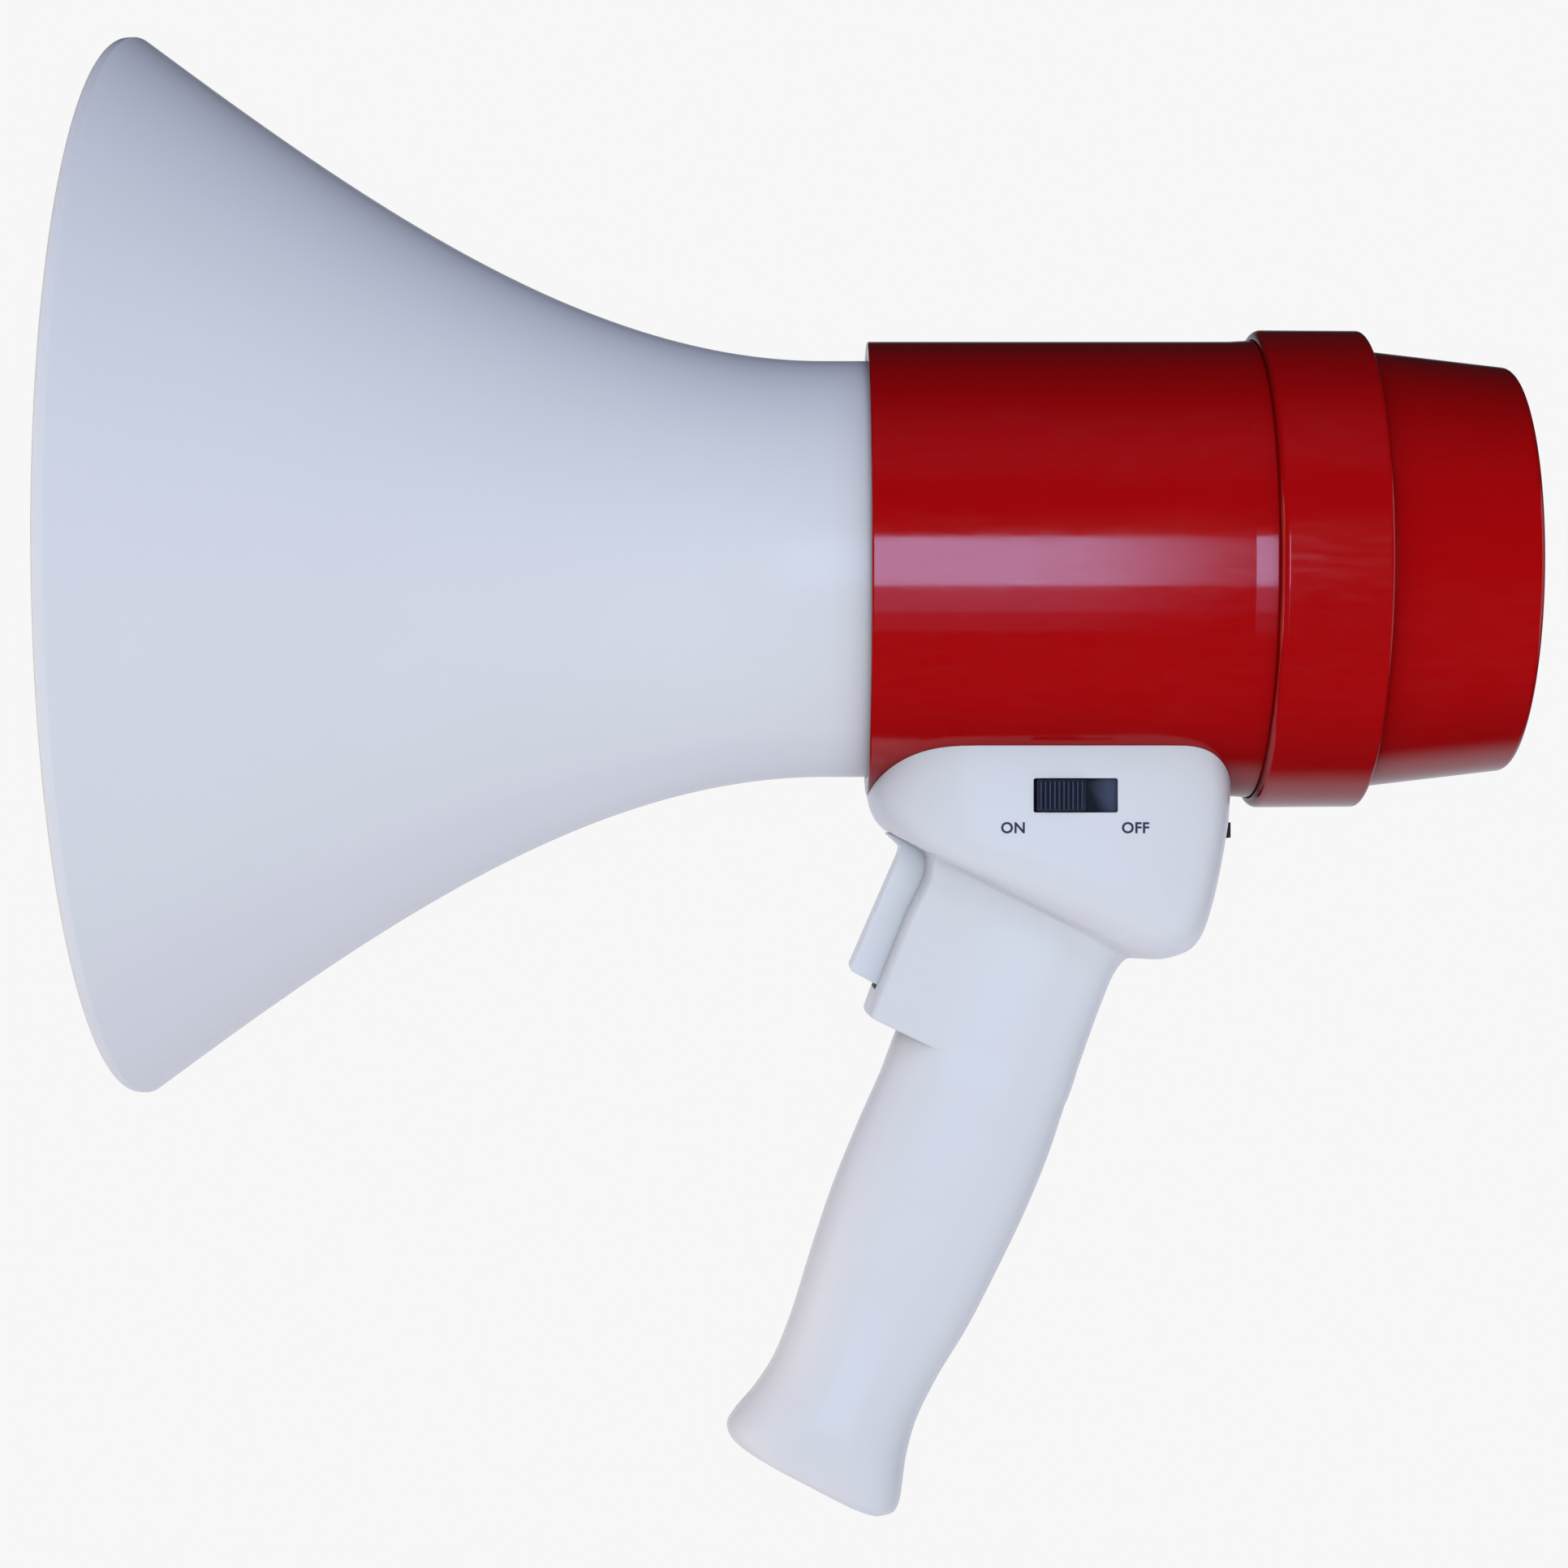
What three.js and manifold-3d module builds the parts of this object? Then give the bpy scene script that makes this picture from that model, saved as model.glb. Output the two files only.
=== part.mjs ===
// Handheld megaphone: a re-entrant horn, a round body with the driver and six cells, a rear cover
// with the microphone and its locking ring, and a pistol grip with a trigger, a power switch and a
// volume wheel.
// Millimetres, +Z up. The bell opens towards -X and the mouthpiece faces +X.
// Everything is drawn with X along the horn axis from the bell rim, then moved to the grip's centre.

import * as THREE from "three";
import { ParametricGeometry } from "three/addons/geometries/ParametricGeometry.js";
import { mergeVertices } from "three/addons/utils/BufferGeometryUtils.js";
import Module from "manifold-3d";

const wasm = await Module();
wasm.setup();

// ---------------------------------------------------------------- driving dimensions

const GAP = 0.3; // clearance between pieces that touch
const WALL = 2.5; // moulded wall
const GRIP_CENTRE = { x: 171, z: -145 }; // middle of the hand grip, seen from the horn axis

const BELL = { rim: 115, neck: 45.8, wall: 2.4, flareEnd: 150, end: 167, flange: 47.3, flangeHole: 37 };
const BODY = { start: 159.5, end: 254.5, outer: 50, inner: 47.7, lipHole: 46.1, lipEnd: 164.6 };
const RING = { start: 243.7, end: 267.3, outer: 52.5, inner: 50.4, lipHole: 48.3, lipStart: 260.9 };
const SEAL = { start: 254.8, end: 256.2, outer: 49.6, inner: 47.9 };
const CAP = { start: 256.5, end: 300, flange: 49.3, flangeEnd: 260.5, grilleSeat: 291.7, grilleHole: 38.4 };
const GRILLE = {
  outer: 38.1,
  thickness: 1.8,
  holeRadius: 2,
  ringRadii: [0, 11, 22, 31],
  holesPerRing: [1, 5, 8, 12],
};
const REFLECTOR = { apex: 34, mouth: 122, wall: 2 };
const THROAT = {
  mouth: 62,
  mouthRadius: 20,
  bend: 110,
  bendRadius: 15.6,
  entry: 170,
  entryRadius: 11,
  wall: 2,
  baffle: 47,
  baffleStart: 167.3,
};
const DRIVER = {
  start: 170.3,
  flange: 2.7,
  frame: 43,
  rim: 36,
  plateHole: 13.7,
  pole: 12.5,
  magnetStart: 183.3,
  magnetEnd: 195.3,
};
const HORN_SCREW = { circle: 39.8, head: 2.8, headHeight: 2, shank: 1.4, hole: 1.7, headHole: 3.2 };
const CELL = { radius: 12.75, length: 49, nub: 4, nubLength: 1.6, pitch: 27, count: 6 };
const CELL_SPRING = { radius: 4.6, length: 3.4, turns: 2, wire: 0.5, clearance: 0.7 };
const HOLDER = { front: 200.3, rear: 259, disc: 43, hub: 13, discThickness: 2.2 };
const PIN = { x: 175.5, z: -66.5, radius: 1.5, halfLength: 15.2 };
const TRIGGER_HALF = 11;
const PLUNGER = { z: -81, radius: 1.5, tip: 162.4, end: 168.6 };
const SWITCH = {
  window: [194.2, 212.1],
  top: -46.1,
  bottom: -53.4,
  knob: [194.9, 205.3],
  face: -32.2,
  plate: [191.5, 213.4],
  plateDepth: [-28.4, -27.7],
  bodyDepth: [-27.3, -22.2],
  grooves: 9,
};
const WHEEL = { x: 231, z: -57.5, radius: 9, thickness: 3.4, teeth: 28 };
const BOARD = { start: 196, end: 230, half: 21, top: -62.2, thickness: 1.6 };
const GRIP_SCREWS = [[151, -187], [169.6, -147], [184.5, -112], [192, -88], [224, -74.5]];
const SCREW = { head: 2.8, headHeight: 2, shank: 1.4, seat: 12.3, reach: -8.4 };
const HEAT_SINK = { x: [198, 218], y: [9.4, 18.4], base: 1.6, fins: 4, fin: 1.2, pitch: 2.6, height: 8.5 };
const CAPACITOR = { x: [199, 213], radius: 3.9, y: [4, -4.6] };
const SADDLE_SCREW = { x: 190, y: 14, top: -42.3, seat: -44.3, tip: -56 };

const ROUND = 32; // segments round the large turned pieces
const MEDIUM = 20;
const SMALL = 8;

// ---------------------------------------------------------------- materials

function plastic(color, roughness) {
  return new THREE.MeshStandardMaterial({ color, roughness, metalness: 0 });
}

function metal(color, roughness) {
  return new THREE.MeshStandardMaterial({ color, roughness, metalness: 1 });
}

const white = plastic(0xd9dde8, 0.42);
const red = plastic(0xa50d14, 0.25);
const black = plastic(0x16171c, 0.5);
const navy = plastic(0x232940, 0.55);
const rubber = plastic(0x1c1c1e, 0.85);
const foam = plastic(0x2a2a2c, 1);
const boardGreen = plastic(0x1f5a35, 0.5);
const film = plastic(0x9a7440, 0.4);
const ferrite = plastic(0x303134, 0.7);
const steel = metal(0xb4b7bb, 0.35);
const aluminium = metal(0xc4c7cb, 0.45);
const cellWrap = plastic(0x2e4f7a, 0.4);

// ---------------------------------------------------------------- solids

// A closed geometry as a manifold-3d solid, with its faces pointing out.
function solid(geometry) {
  const bare = geometry.clone();
  bare.deleteAttribute("normal");
  bare.deleteAttribute("uv");
  const merged = mergeVertices(bare, 1e-4);
  const triVerts = [];
  const index = merged.index.array;
  for (let i = 0; i < index.length; i += 3) {
    const [a, b, c] = [index[i], index[i + 1], index[i + 2]];
    if (a !== b && b !== c && c !== a) triVerts.push(a, b, c);
  }
  const vertProperties = merged.attributes.position.array;
  const mesh = new wasm.Mesh({ numProp: 3, vertProperties, triVerts: new Uint32Array(triVerts) });
  return new wasm.Manifold(mesh);
}

function geometryOf(shape) {
  const mesh = shape.getMesh();
  const geometry = new THREE.BufferGeometry();
  geometry.setAttribute("position", new THREE.BufferAttribute(mesh.vertProperties, 3));
  geometry.setIndex(new THREE.BufferAttribute(mesh.triVerts, 1));
  geometry.computeVertexNormals();
  return geometry;
}

function joined(...shapes) {
  return shapes.reduce((all, next) => all.add(next));
}

// Twice the signed area of a closed outline.
function turn(points) {
  return points.reduce((sum, [x, y], i) => {
    const [nextX, nextY] = points[(i + 1) % points.length];
    return sum + x * nextY - nextX * y;
  }, 0);
}

// A solid of revolution about the horn axis, from [x, radius] points that start and end on the axis
// or go once round a ring's section.
function turned(profile, segments = MEDIUM) {
  const onAxis = profile[0][1] === 0;
  const outline = turn(profile) > 0 ? [...profile].reverse() : [...profile];
  if (!onAxis) outline.push(outline[0]);
  const points = outline.map(([x, radius]) => new THREE.Vector2(radius, x));
  return solid(new THREE.LatheGeometry(points, segments).rotateZ(-Math.PI / 2));
}

// A disc or rod along the horn axis.
function rod(startX, endX, radius, segments = SMALL, y = 0, z = 0) {
  const shape = new THREE.CylinderGeometry(radius, radius, endX - startX, segments).rotateZ(Math.PI / 2);
  return solid(shape.translate((startX + endX) / 2, y, z));
}

// A rod along Y at the point x, z.
function crossRod(x, z, startY, endY, radius, segments = SMALL) {
  const shape = new THREE.CylinderGeometry(radius, radius, endY - startY, segments);
  return solid(shape.translate(x, (startY + endY) / 2, z));
}

// An upright rod at the point x, y.
function post(x, y, bottom, top, radius, segments = SMALL) {
  const shape = new THREE.CylinderGeometry(radius, radius, top - bottom, segments).rotateX(Math.PI / 2);
  return solid(shape.translate(x, y, (bottom + top) / 2));
}

function block([startX, endX], [startY, endY], [startZ, endZ]) {
  const shape = new THREE.BoxGeometry(endX - startX, endY - startY, endZ - startZ);
  return solid(shape.translate((startX + endX) / 2, (startY + endY) / 2, (startZ + endZ) / 2));
}

// A side outline of [x, z] points, as thick as the given range of Y.
function sideOutline(points, startY, endY) {
  const shape = new THREE.Shape(points.map(([x, z]) => new THREE.Vector2(x, z)));
  const geometry = new THREE.ExtrudeGeometry(shape, { depth: endY - startY, bevelEnabled: false, steps: 1 });
  return solid(geometry.rotateX(Math.PI / 2).translate(0, endY, 0));
}

// A coil spring about the X axis, from x = 0 to its length.
class Helix extends THREE.Curve {
  constructor(radius, length, turns) {
    super();
    Object.assign(this, { radius, length, turns });
  }

  getPoint(t, target = new THREE.Vector3()) {
    const angle = 2 * Math.PI * this.turns * t;
    return target.set(this.length * t, this.radius * Math.cos(angle), this.radius * Math.sin(angle));
  }
}

function wireAlong(path, wireRadius, steps, sides = 5) {
  const section = new THREE.Shape();
  for (let i = 0; i < sides; i += 1) {
    const angle = (2 * Math.PI * i) / sides;
    const [x, y] = [wireRadius * Math.cos(angle), wireRadius * Math.sin(angle)];
    if (i === 0) section.moveTo(x, y);
    else section.lineTo(x, y);
  }
  return new THREE.ExtrudeGeometry(section, { extrudePath: path, steps, bevelEnabled: false });
}

// ---------------------------------------------------------------- scene

const megaphone = new THREE.Group();
megaphone.name = "megaphone";
const horn = new THREE.Group(); // the frame with X along the horn axis from the rim
horn.position.set(-GRIP_CENTRE.x, 0, -GRIP_CENTRE.z);
megaphone.add(horn);

function place(name, shape, material) {
  const mesh = new THREE.Mesh(geometryOf(shape), material.clone());
  mesh.name = name;
  horn.add(mesh);
  return mesh;
}

// ---------------------------------------------------------------- horn

// The outer flare: a cubic curve from the rim to the neck, then a straight neck.
const flare = new THREE.CubicBezierCurve(
  new THREE.Vector2(2.5, BELL.rim),
  new THREE.Vector2(52.5, 78),
  new THREE.Vector2(100, BELL.neck),
  new THREE.Vector2(BELL.flareEnd, BELL.neck),
);

function makeBell() {
  const steps = 6;
  const outside = flare.getPoints(steps).map((p) => [p.x, p.y]);
  const inside = [];
  for (let i = 0; i <= steps; i += 1) {
    const point = flare.getPoint(i / steps);
    const tangent = flare.getTangent(i / steps);
    inside.push([point.x + tangent.y * BELL.wall, point.y - tangent.x * BELL.wall]);
  }
  const lip = [
    [0.8, BELL.rim - BELL.wall - 0.4],
    [0, BELL.rim - BELL.wall + 0.2],
    [0, BELL.rim - 0.7],
    [0.7, BELL.rim],
  ];
  const neckInside = BELL.neck - BELL.wall;
  const foot = [
    [BELL.end - 2.1, BELL.neck],
    [BELL.end - 2.1, BELL.flange],
    [BELL.end, BELL.flange],
    [BELL.end, BELL.flangeHole],
    [BELL.end - 2.1, BELL.flangeHole],
    [BELL.end - 2.1, neckInside],
  ];
  return turned([...lip, ...outside, ...foot, ...inside.reverse()], ROUND);
}

function makeReflector() {
  const { apex, mouth, wall } = REFLECTOR;
  const outside = [[0, 0], [1.5, 9], [6, 19], [14, 27.5], [26, 33], [52, 35.6], [mouth - apex, 37]];
  const inside = [[mouth - apex, 35], [52, 33.6], [26, 31], [15.5, 26], [8, 18], [3.5, 9], [wall, 0]];
  return turned([...outside, ...inside].map(([x, radius]) => [apex + x, radius]), 28);
}

// The inner horn, its baffle and the three vanes that carry the reflector.
function makeThroatHorn() {
  const { mouth, mouthRadius, bend, bendRadius, entry, entryRadius, wall, baffle, baffleStart } = THROAT;
  const tube = turned([
    [mouth, mouthRadius],
    [mouth, mouthRadius + wall],
    [bend, bendRadius + wall],
    [baffleStart, entryRadius + wall],
    [baffleStart, baffle],
    [entry, baffle],
    [entry, entryRadius],
    [bend, bendRadius],
  ]);
  const vane = [[78, 18], [78, 32.3], [112, 34.1], [112, 16.4]];
  const vanes = [0, 1, 2].map((i) => sideOutline(vane, -1, 1).rotate([120 * i, 0, 0]));
  const holes = hornScrewPlaces().map(([y, z]) => rod(160, 180, HORN_SCREW.hole, SMALL, y, z));
  return joined(tube, ...vanes).subtract(joined(...holes));
}

// Three screws hold the baffle to the bell and three hold the driver to the baffle, in turn.
function hornScrewPlaces() {
  return [0, 1, 2, 3, 4, 5].map((i) => {
    const angle = (Math.PI / 3) * i + Math.PI / 6;
    return [HORN_SCREW.circle * Math.cos(angle), HORN_SCREW.circle * Math.sin(angle)];
  });
}

function makeHornScrew(index) {
  const [y, z] = hornScrewPlaces()[index];
  const holdsDriver = index % 2 === 1;
  const seat = holdsDriver ? DRIVER.start + DRIVER.flange + GAP : THROAT.entry + GAP;
  const top = seat + HORN_SCREW.headHeight;
  const head = rod(seat, top, HORN_SCREW.head, 10, y, z);
  const slot = block([top - 0.8, top + 1], [y - 0.4, y + 0.4], [z - 2, z + 2]);
  const tip = THROAT.baffleStart - (holdsDriver ? 0 : 4);
  const shank = rod(tip, seat + 0.5, HORN_SCREW.shank, 10, y, z);
  return joined(head, shank).subtract(slot);
}

const bellHoles = hornScrewPlaces().filter((_, i) => i % 2 === 0);
const bellDrills = bellHoles.map(([y, z]) => rod(160, 175, HORN_SCREW.hole, SMALL, y, z));
place("bell", makeBell().subtract(joined(...bellDrills)), white);
place("reflector", makeReflector(), white);
place("throat_horn", makeThroatHorn(), white);

// ---------------------------------------------------------------- driver

function makeDriverFrame() {
  const { start, flange, frame, rim } = DRIVER;
  const ring = turned([
    [start, 11],
    [start, frame],
    [start + flange, frame],
    [start + flange, rim],
    [start + 7.3, rim],
    [start + 7.3, 34.6],
    [start + 4, 34.6],
    [start + 4, 14],
    [start + 1.8, 14],
    [start + 1.8, 11],
  ]);
  const places = hornScrewPlaces();
  const holes = places.map(([y, z], i) => {
    const radius = i % 2 === 1 ? HORN_SCREW.hole : HORN_SCREW.headHole;
    return rod(165, 180, radius, SMALL, y, z);
  });
  return ring.subtract(joined(...holes));
}

function makeDiaphragm() {
  return turned([
    [172.6, 0],
    [173, 6],
    [174.6, 12.9],
    [174.6, 34.2],
    [175.1, 34.2],
    [175.1, 13.3],
    [181.5, 13.3],
    [181.5, 12.9],
    [175.3, 12.8],
    [173.5, 6],
    [173.1, 0],
  ]);
}

function makeBackPlate() {
  const start = DRIVER.magnetEnd + GAP;
  return turned([
    [178.5, 0],
    [178.5, DRIVER.pole],
    [start, DRIVER.pole],
    [start, 34],
    [start + 4, 34],
    [start + 4, 0],
  ]);
}

const topPlate = [[178.2, DRIVER.plateHole], [178.2, 35.2], [183, 35.2], [183, DRIVER.plateHole]];
const magnetRing = [
  [DRIVER.magnetStart, 17],
  [DRIVER.magnetStart, 36],
  [DRIVER.magnetEnd, 36],
  [DRIVER.magnetEnd, 17],
];
place("driver_frame", makeDriverFrame(), aluminium);
place("diaphragm", makeDiaphragm(), film);
place("top_plate", turned(topPlate), steel);
place("magnet", turned(magnetRing), ferrite);
place("back_plate", makeBackPlate(), steel);
for (let i = 0; i < 6; i += 1) {
  const name = i % 2 === 1 ? `driver_screw_${(i + 1) / 2}` : `baffle_screw_${i / 2 + 1}`;
  place(name, makeHornScrew(i), steel);
}

// ---------------------------------------------------------------- body, ring and rear cover

function makeBodyShell() {
  const { start, end, outer, inner, lipHole, lipEnd } = BODY;
  const shell = turned(
    [
      [start, lipHole],
      [start, outer - 0.5],
      [start + 0.5, outer],
      [end, outer],
      [end, inner],
      [lipEnd, inner],
      [lipEnd, lipHole],
    ],
    ROUND,
  );
  const { x, y } = SADDLE_SCREW;
  const holes = [-y, y].map((side) => post(x, side, -60, -40, SCREW.shank + GAP));
  return shell.subtract(joined(...holes));
}

function makeLockingRing() {
  const { start, end, outer, inner, lipHole, lipStart } = RING;
  return turned(
    [
      [start, inner],
      [start, outer - 1.8],
      [start + 0.6, outer - 0.6],
      [start + 1.8, outer],
      [end - 0.9, outer],
      [end, outer - 0.9],
      [end, lipHole],
      [lipStart, lipHole],
      [lipStart, inner],
    ],
    ROUND,
  );
}

const sealSection = [
  [SEAL.start, SEAL.inner],
  [SEAL.start, SEAL.outer],
  [SEAL.end, SEAL.outer],
  [SEAL.end, SEAL.inner],
];

// The cover, with the cup for the microphone behind the mouthpiece.
function makeRearCap() {
  const { start, end, flange, flangeEnd, grilleSeat, grilleHole } = CAP;
  const cupFloor = 276;
  const cupInner = 34.2;
  return turned(
    [
      [cupFloor, 0],
      [cupFloor, cupInner + 2.2],
      [289.4, cupInner + 2.2],
      [289.4, 42.9],
      [275.5, 44.6],
      [268, 45.4],
      [start, 45.6],
      [start, flange],
      [flangeEnd, flange],
      [flangeEnd, 47.9],
      [268, 47.9],
      [275.5, 47.1],
      [end - 2, 44.4],
      [end - 0.5, 43.7],
      [end, 42.4],
      [end - 0.4, 41.2],
      [grilleSeat + 2.4, grilleHole],
      [grilleSeat, grilleHole],
      [grilleSeat, cupInner],
      [cupFloor + 2, cupInner],
      [cupFloor + 2, 0],
    ],
    ROUND,
  );
}

function makeMicGrille() {
  const start = CAP.grilleSeat + GAP;
  const disc = rod(start, start + GRILLE.thickness, GRILLE.outer, MEDIUM);
  const holes = [];
  GRILLE.ringRadii.forEach((ringRadius, ring) => {
    const count = GRILLE.holesPerRing[ring];
    for (let i = 0; i < count; i += 1) {
      const angle = (2 * Math.PI * i) / count;
      const [y, z] = [ringRadius * Math.cos(angle), ringRadius * Math.sin(angle)];
      holes.push(rod(start - 1, start + 3, GRILLE.holeRadius, 6, y, z));
    }
  });
  return disc.subtract(joined(...holes));
}

place("body_shell", makeBodyShell(), red);
place("locking_ring", makeLockingRing(), red);
place("seal_ring", turned(sealSection), rubber);
place("rear_cap", makeRearCap(), red);
place("mic_grille", makeMicGrille(), black);
place("mic_foam", rod(285, 291.4, 33.8, 24), foam);
place("mic_capsule", rod(279.9, 284.7, 4.9, SMALL), steel);
place("mic_board", rod(278.3, 279.6, 12, 16), boardGreen);

// ---------------------------------------------------------------- battery pack

function makeHolder() {
  const { front, rear, disc, hub, discThickness } = HOLDER;
  return turned([
    [front, 0],
    [front, disc],
    [front + discThickness, disc],
    [front + discThickness, hub],
    [rear - discThickness, hub],
    [rear - discThickness, disc],
    [rear, disc],
    [rear, 0],
  ]);
}

// Where a cell's axis runs, and whether its nub points towards -X.
function cellPlace(index) {
  const angle = (2 * Math.PI * index) / CELL.count;
  const reversed = index % 2 === 1;
  return { y: CELL.pitch * Math.cos(angle), z: CELL.pitch * Math.sin(angle), reversed };
}

function makeCell(index) {
  const { y, z, reversed } = cellPlace(index);
  const { radius, length, nub, nubLength } = CELL;
  const shoulder = length - nubLength - GAP;
  const tip = length - GAP;
  const can = turned([[0, 0], [0, radius], [shoulder, radius], [shoulder, nub], [tip, nub], [tip, 0]], 16);
  const rearPlate = HOLDER.rear - HOLDER.discThickness;
  if (!reversed) return can.translate([rearPlate - length - GAP, y, z]);
  return can.rotate([0, 0, 180]).translate([HOLDER.front + HOLDER.discThickness + length + 2 * GAP, y, z]);
}

// The spring at a cell's flat end.
function makeBatterySpring(index) {
  const { y, z, reversed } = cellPlace(index);
  const { radius, length, turns, wire, clearance } = CELL_SPRING;
  const coil = solid(wireAlong(new Helix(radius, length, turns), wire, 14, 4));
  const frontPlate = HOLDER.front + HOLDER.discThickness;
  const rearPlate = HOLDER.rear - HOLDER.discThickness;
  const start = reversed ? rearPlate - length - clearance : frontPlate + clearance;
  return coil.translate([start, y, z]);
}

place("battery_holder", makeHolder(), black);
for (let i = 0; i < CELL.count; i += 1) {
  place(`battery_cell_${i + 1}`, makeCell(i), cellWrap);
  place(`battery_spring_${i + 1}`, makeBatterySpring(i), steel);
}

// ---------------------------------------------------------------- grip and housing

// Sections of the grip from its foot up to the body. Each lies across the grip from its front edge
// point to its rear edge point, is 2 * half wide, and rounds off over nose at the front and tail at
// the rear. power is 2 for an ellipse and more for a squarer corner.
function section(front, rear, half, nose, tail, power) {
  return { front, rear, half, nose, tail, power };
}

const gripSections = [
  section([131.4, -191.6], [163.1, -208.2], 14.6, 12, 12, 2.2),
  section([129.3, -190.4], [165.7, -207.4], 16.2, 13, 13, 2.2),
  section([128.7, -188.6], [166.9, -204.9], 17.4, 14, 14, 2.2),
  section([130.1, -186], [167.4, -201.8], 18.2, 14, 14, 2.2),
  section([134.7, -180.5], [168.1, -196.4], 18.6, 14, 14, 2.2),
  section([138.9, -174], [169.9, -189], 18, 14, 14, 2.2),
  section([142.7, -164.7], [174.2, -179.6], 17.2, 14, 14, 2.2),
  section([147.3, -150], [181.9, -166.8], 16.8, 14, 15, 2.2),
  section([151.8, -136.6], [188.5, -154], 16.8, 14, 15, 2.2),
  section([157.5, -122.5], [194.9, -140.6], 17, 14, 15, 2.2),
  section([163, -110], [200, -128], 17.2, 14, 15, 2.2),
  section([166.2, -101.5], [202.6, -120], 17.4, 12, 15, 2.3),
];

const blockSections = [
  section([158.7, -97.2], [202.9, -118.8], 17.3, 2.6, 15, 2.3),
  section([162.4, -87.8], [206.8, -108], 17.7, 2.6, 15, 2.3),
  section([167.3, -75.6], [211.3, -95.6], 18.2, 2.6, 15, 2.3),
  section([171.7, -65], [214.6, -88.2], 18.5, 2.8, 15, 2.3),
];

const housingSections = [
  section([171.5, -62.6], [217.4, -85.7], 18.8, 3.4, 15, 2.3),
  section([167.6, -59.7], [223.1, -85.9], 24.2, 6.5, 15, 2.3),
  section([163.9, -57.8], [229.3, -84.2], 28.6, 18, 16, 2.5),
  section([161.6, -55.4], [232.5, -80.8], 30.6, 22, 16, 2.6),
  section([160.3, -52.6], [235, -73], 31.2, 23.5, 15, 2.8),
  section([159.7, -49.5], [236.8, -64.4], 31.2, 23.5, 15, 2.9),
  section([159.5, -46], [238.4, -54], 31.2, 23.5, 15, 2.9),
  section([159.5, -36], [239.2, -36], 31.2, 23.5, 15, 2.9),
];

const OUTLINE_STEPS = 4; // steps round each corner of a section

// The point at a step of a section's outline: round the front, along the near side, round the rear
// and back along the far side.
function outlinePoint({ front, rear, half, nose, tail, power }, step) {
  const sideCount = 2 * OUTLINE_STEPS + 1;
  const far = step > sideCount;
  const onSide = far ? 2 * sideCount - step : step;
  const atRear = onSide > OUTLINE_STEPS;
  const cornerStep = atRear ? sideCount - onSide : onSide;
  const angle = (Math.PI / 2) * (cornerStep / OUTLINE_STEPS);
  const inwards = 1 - Math.pow(Math.abs(Math.cos(angle)), 2 / power);
  const across = Math.pow(Math.sin(angle), 2 / power);
  const length = Math.hypot(rear[0] - front[0], rear[1] - front[1]);
  const along = atRear ? length - tail * inwards : nose * inwards;
  const share = along / length;
  return new THREE.Vector3(
    THREE.MathUtils.lerp(front[0], rear[0], share),
    (far ? 1 : -1) * half * across,
    THREE.MathUtils.lerp(front[1], rear[1], share),
  );
}

// A solid through the sections, closed flat at both ends.
function loft(sections) {
  const rows = sections.length + 2;
  const around = 2 * (2 * OUTLINE_STEPS + 1);
  const middle = ({ front, rear }) => [(front[0] + rear[0]) / 2, 0, (front[1] + rear[1]) / 2];
  const surface = (u, v, target) => {
    const row = Math.round(v * (rows - 1));
    if (row === 0) return target.set(...middle(sections[0]));
    if (row === rows - 1) return target.set(...middle(sections[sections.length - 1]));
    return target.copy(outlinePoint(sections[row - 1], Math.round(u * around) % around));
  };
  return solid(new ParametricGeometry(surface, around, rows - 1));
}

// The section moved in by one wall all round, and up by lift.
function inset({ front, rear, half, nose, tail, power }, lift = 0) {
  const length = Math.hypot(rear[0] - front[0], rear[1] - front[1]);
  const [stepX, stepZ] = [(rear[0] - front[0]) / length, (rear[1] - front[1]) / length];
  return section(
    [front[0] + stepX * WALL, front[1] + stepZ * WALL + lift],
    [rear[0] - stepX * WALL, rear[1] - stepZ * WALL + lift],
    half - WALL,
    Math.max(nose - WALL, 2.5),
    Math.max(tail - WALL, 2.5),
    power,
  );
}

function makeGripOutside() {
  const grip = loft(gripSections);
  const shelf = loft([...blockSections, ...housingSections]);
  const neck = loft([
    gripSections[gripSections.length - 2],
    gripSections[gripSections.length - 1],
    section([168.6, -96], [204.5, -114], 17.4, 12, 15, 2.3),
  ]);
  return joined(grip, neck, shelf);
}

function makeGripInside() {
  const lower = gripSections.slice(3).map((part) => inset(part));
  const upper = blockSections.map((part) => inset(part));
  const passage = [
    ...lower.slice(-2),
    inset(section([169, -96], [204.6, -113.6], 17.4, 12, 15, 2.3)),
    inset(section([174, -84], [209.6, -101.6], 17.4, 12, 15, 2.3)),
  ];
  const throughRidge = section([178.4, -60.6], [213.5, -77.4], 16.1, 4, 12, 2.4);
  const wide = housingSections.slice(3).map((part, i) => inset(part, [3.4, 2.6, 1.6, 0, 0][i]));
  const raisedShelf = upper.map((part, i) => (i === 0 ? shiftUp(part, WALL) : part));
  return joined(loft(lower), loft(passage), loft([...raisedShelf, throughRidge]), loft(wide));
}

function shiftUp(part, height) {
  const { front, rear } = part;
  return { ...part, front: [front[0], front[1] + height], rear: [rear[0], rear[1] + height] };
}

const triggerWindow = [
  [162, -57.8],
  [150, -66],
  [145, -86],
  [157, -90.5],
  [160, -91.6],
  [165.4, -93.6],
  [167.5, -94.1],
  [181, -84],
  [181, -63],
  [173.4, -60.6],
  [168.6, -59.6],
  [164.6, -57.8],
];

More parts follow.
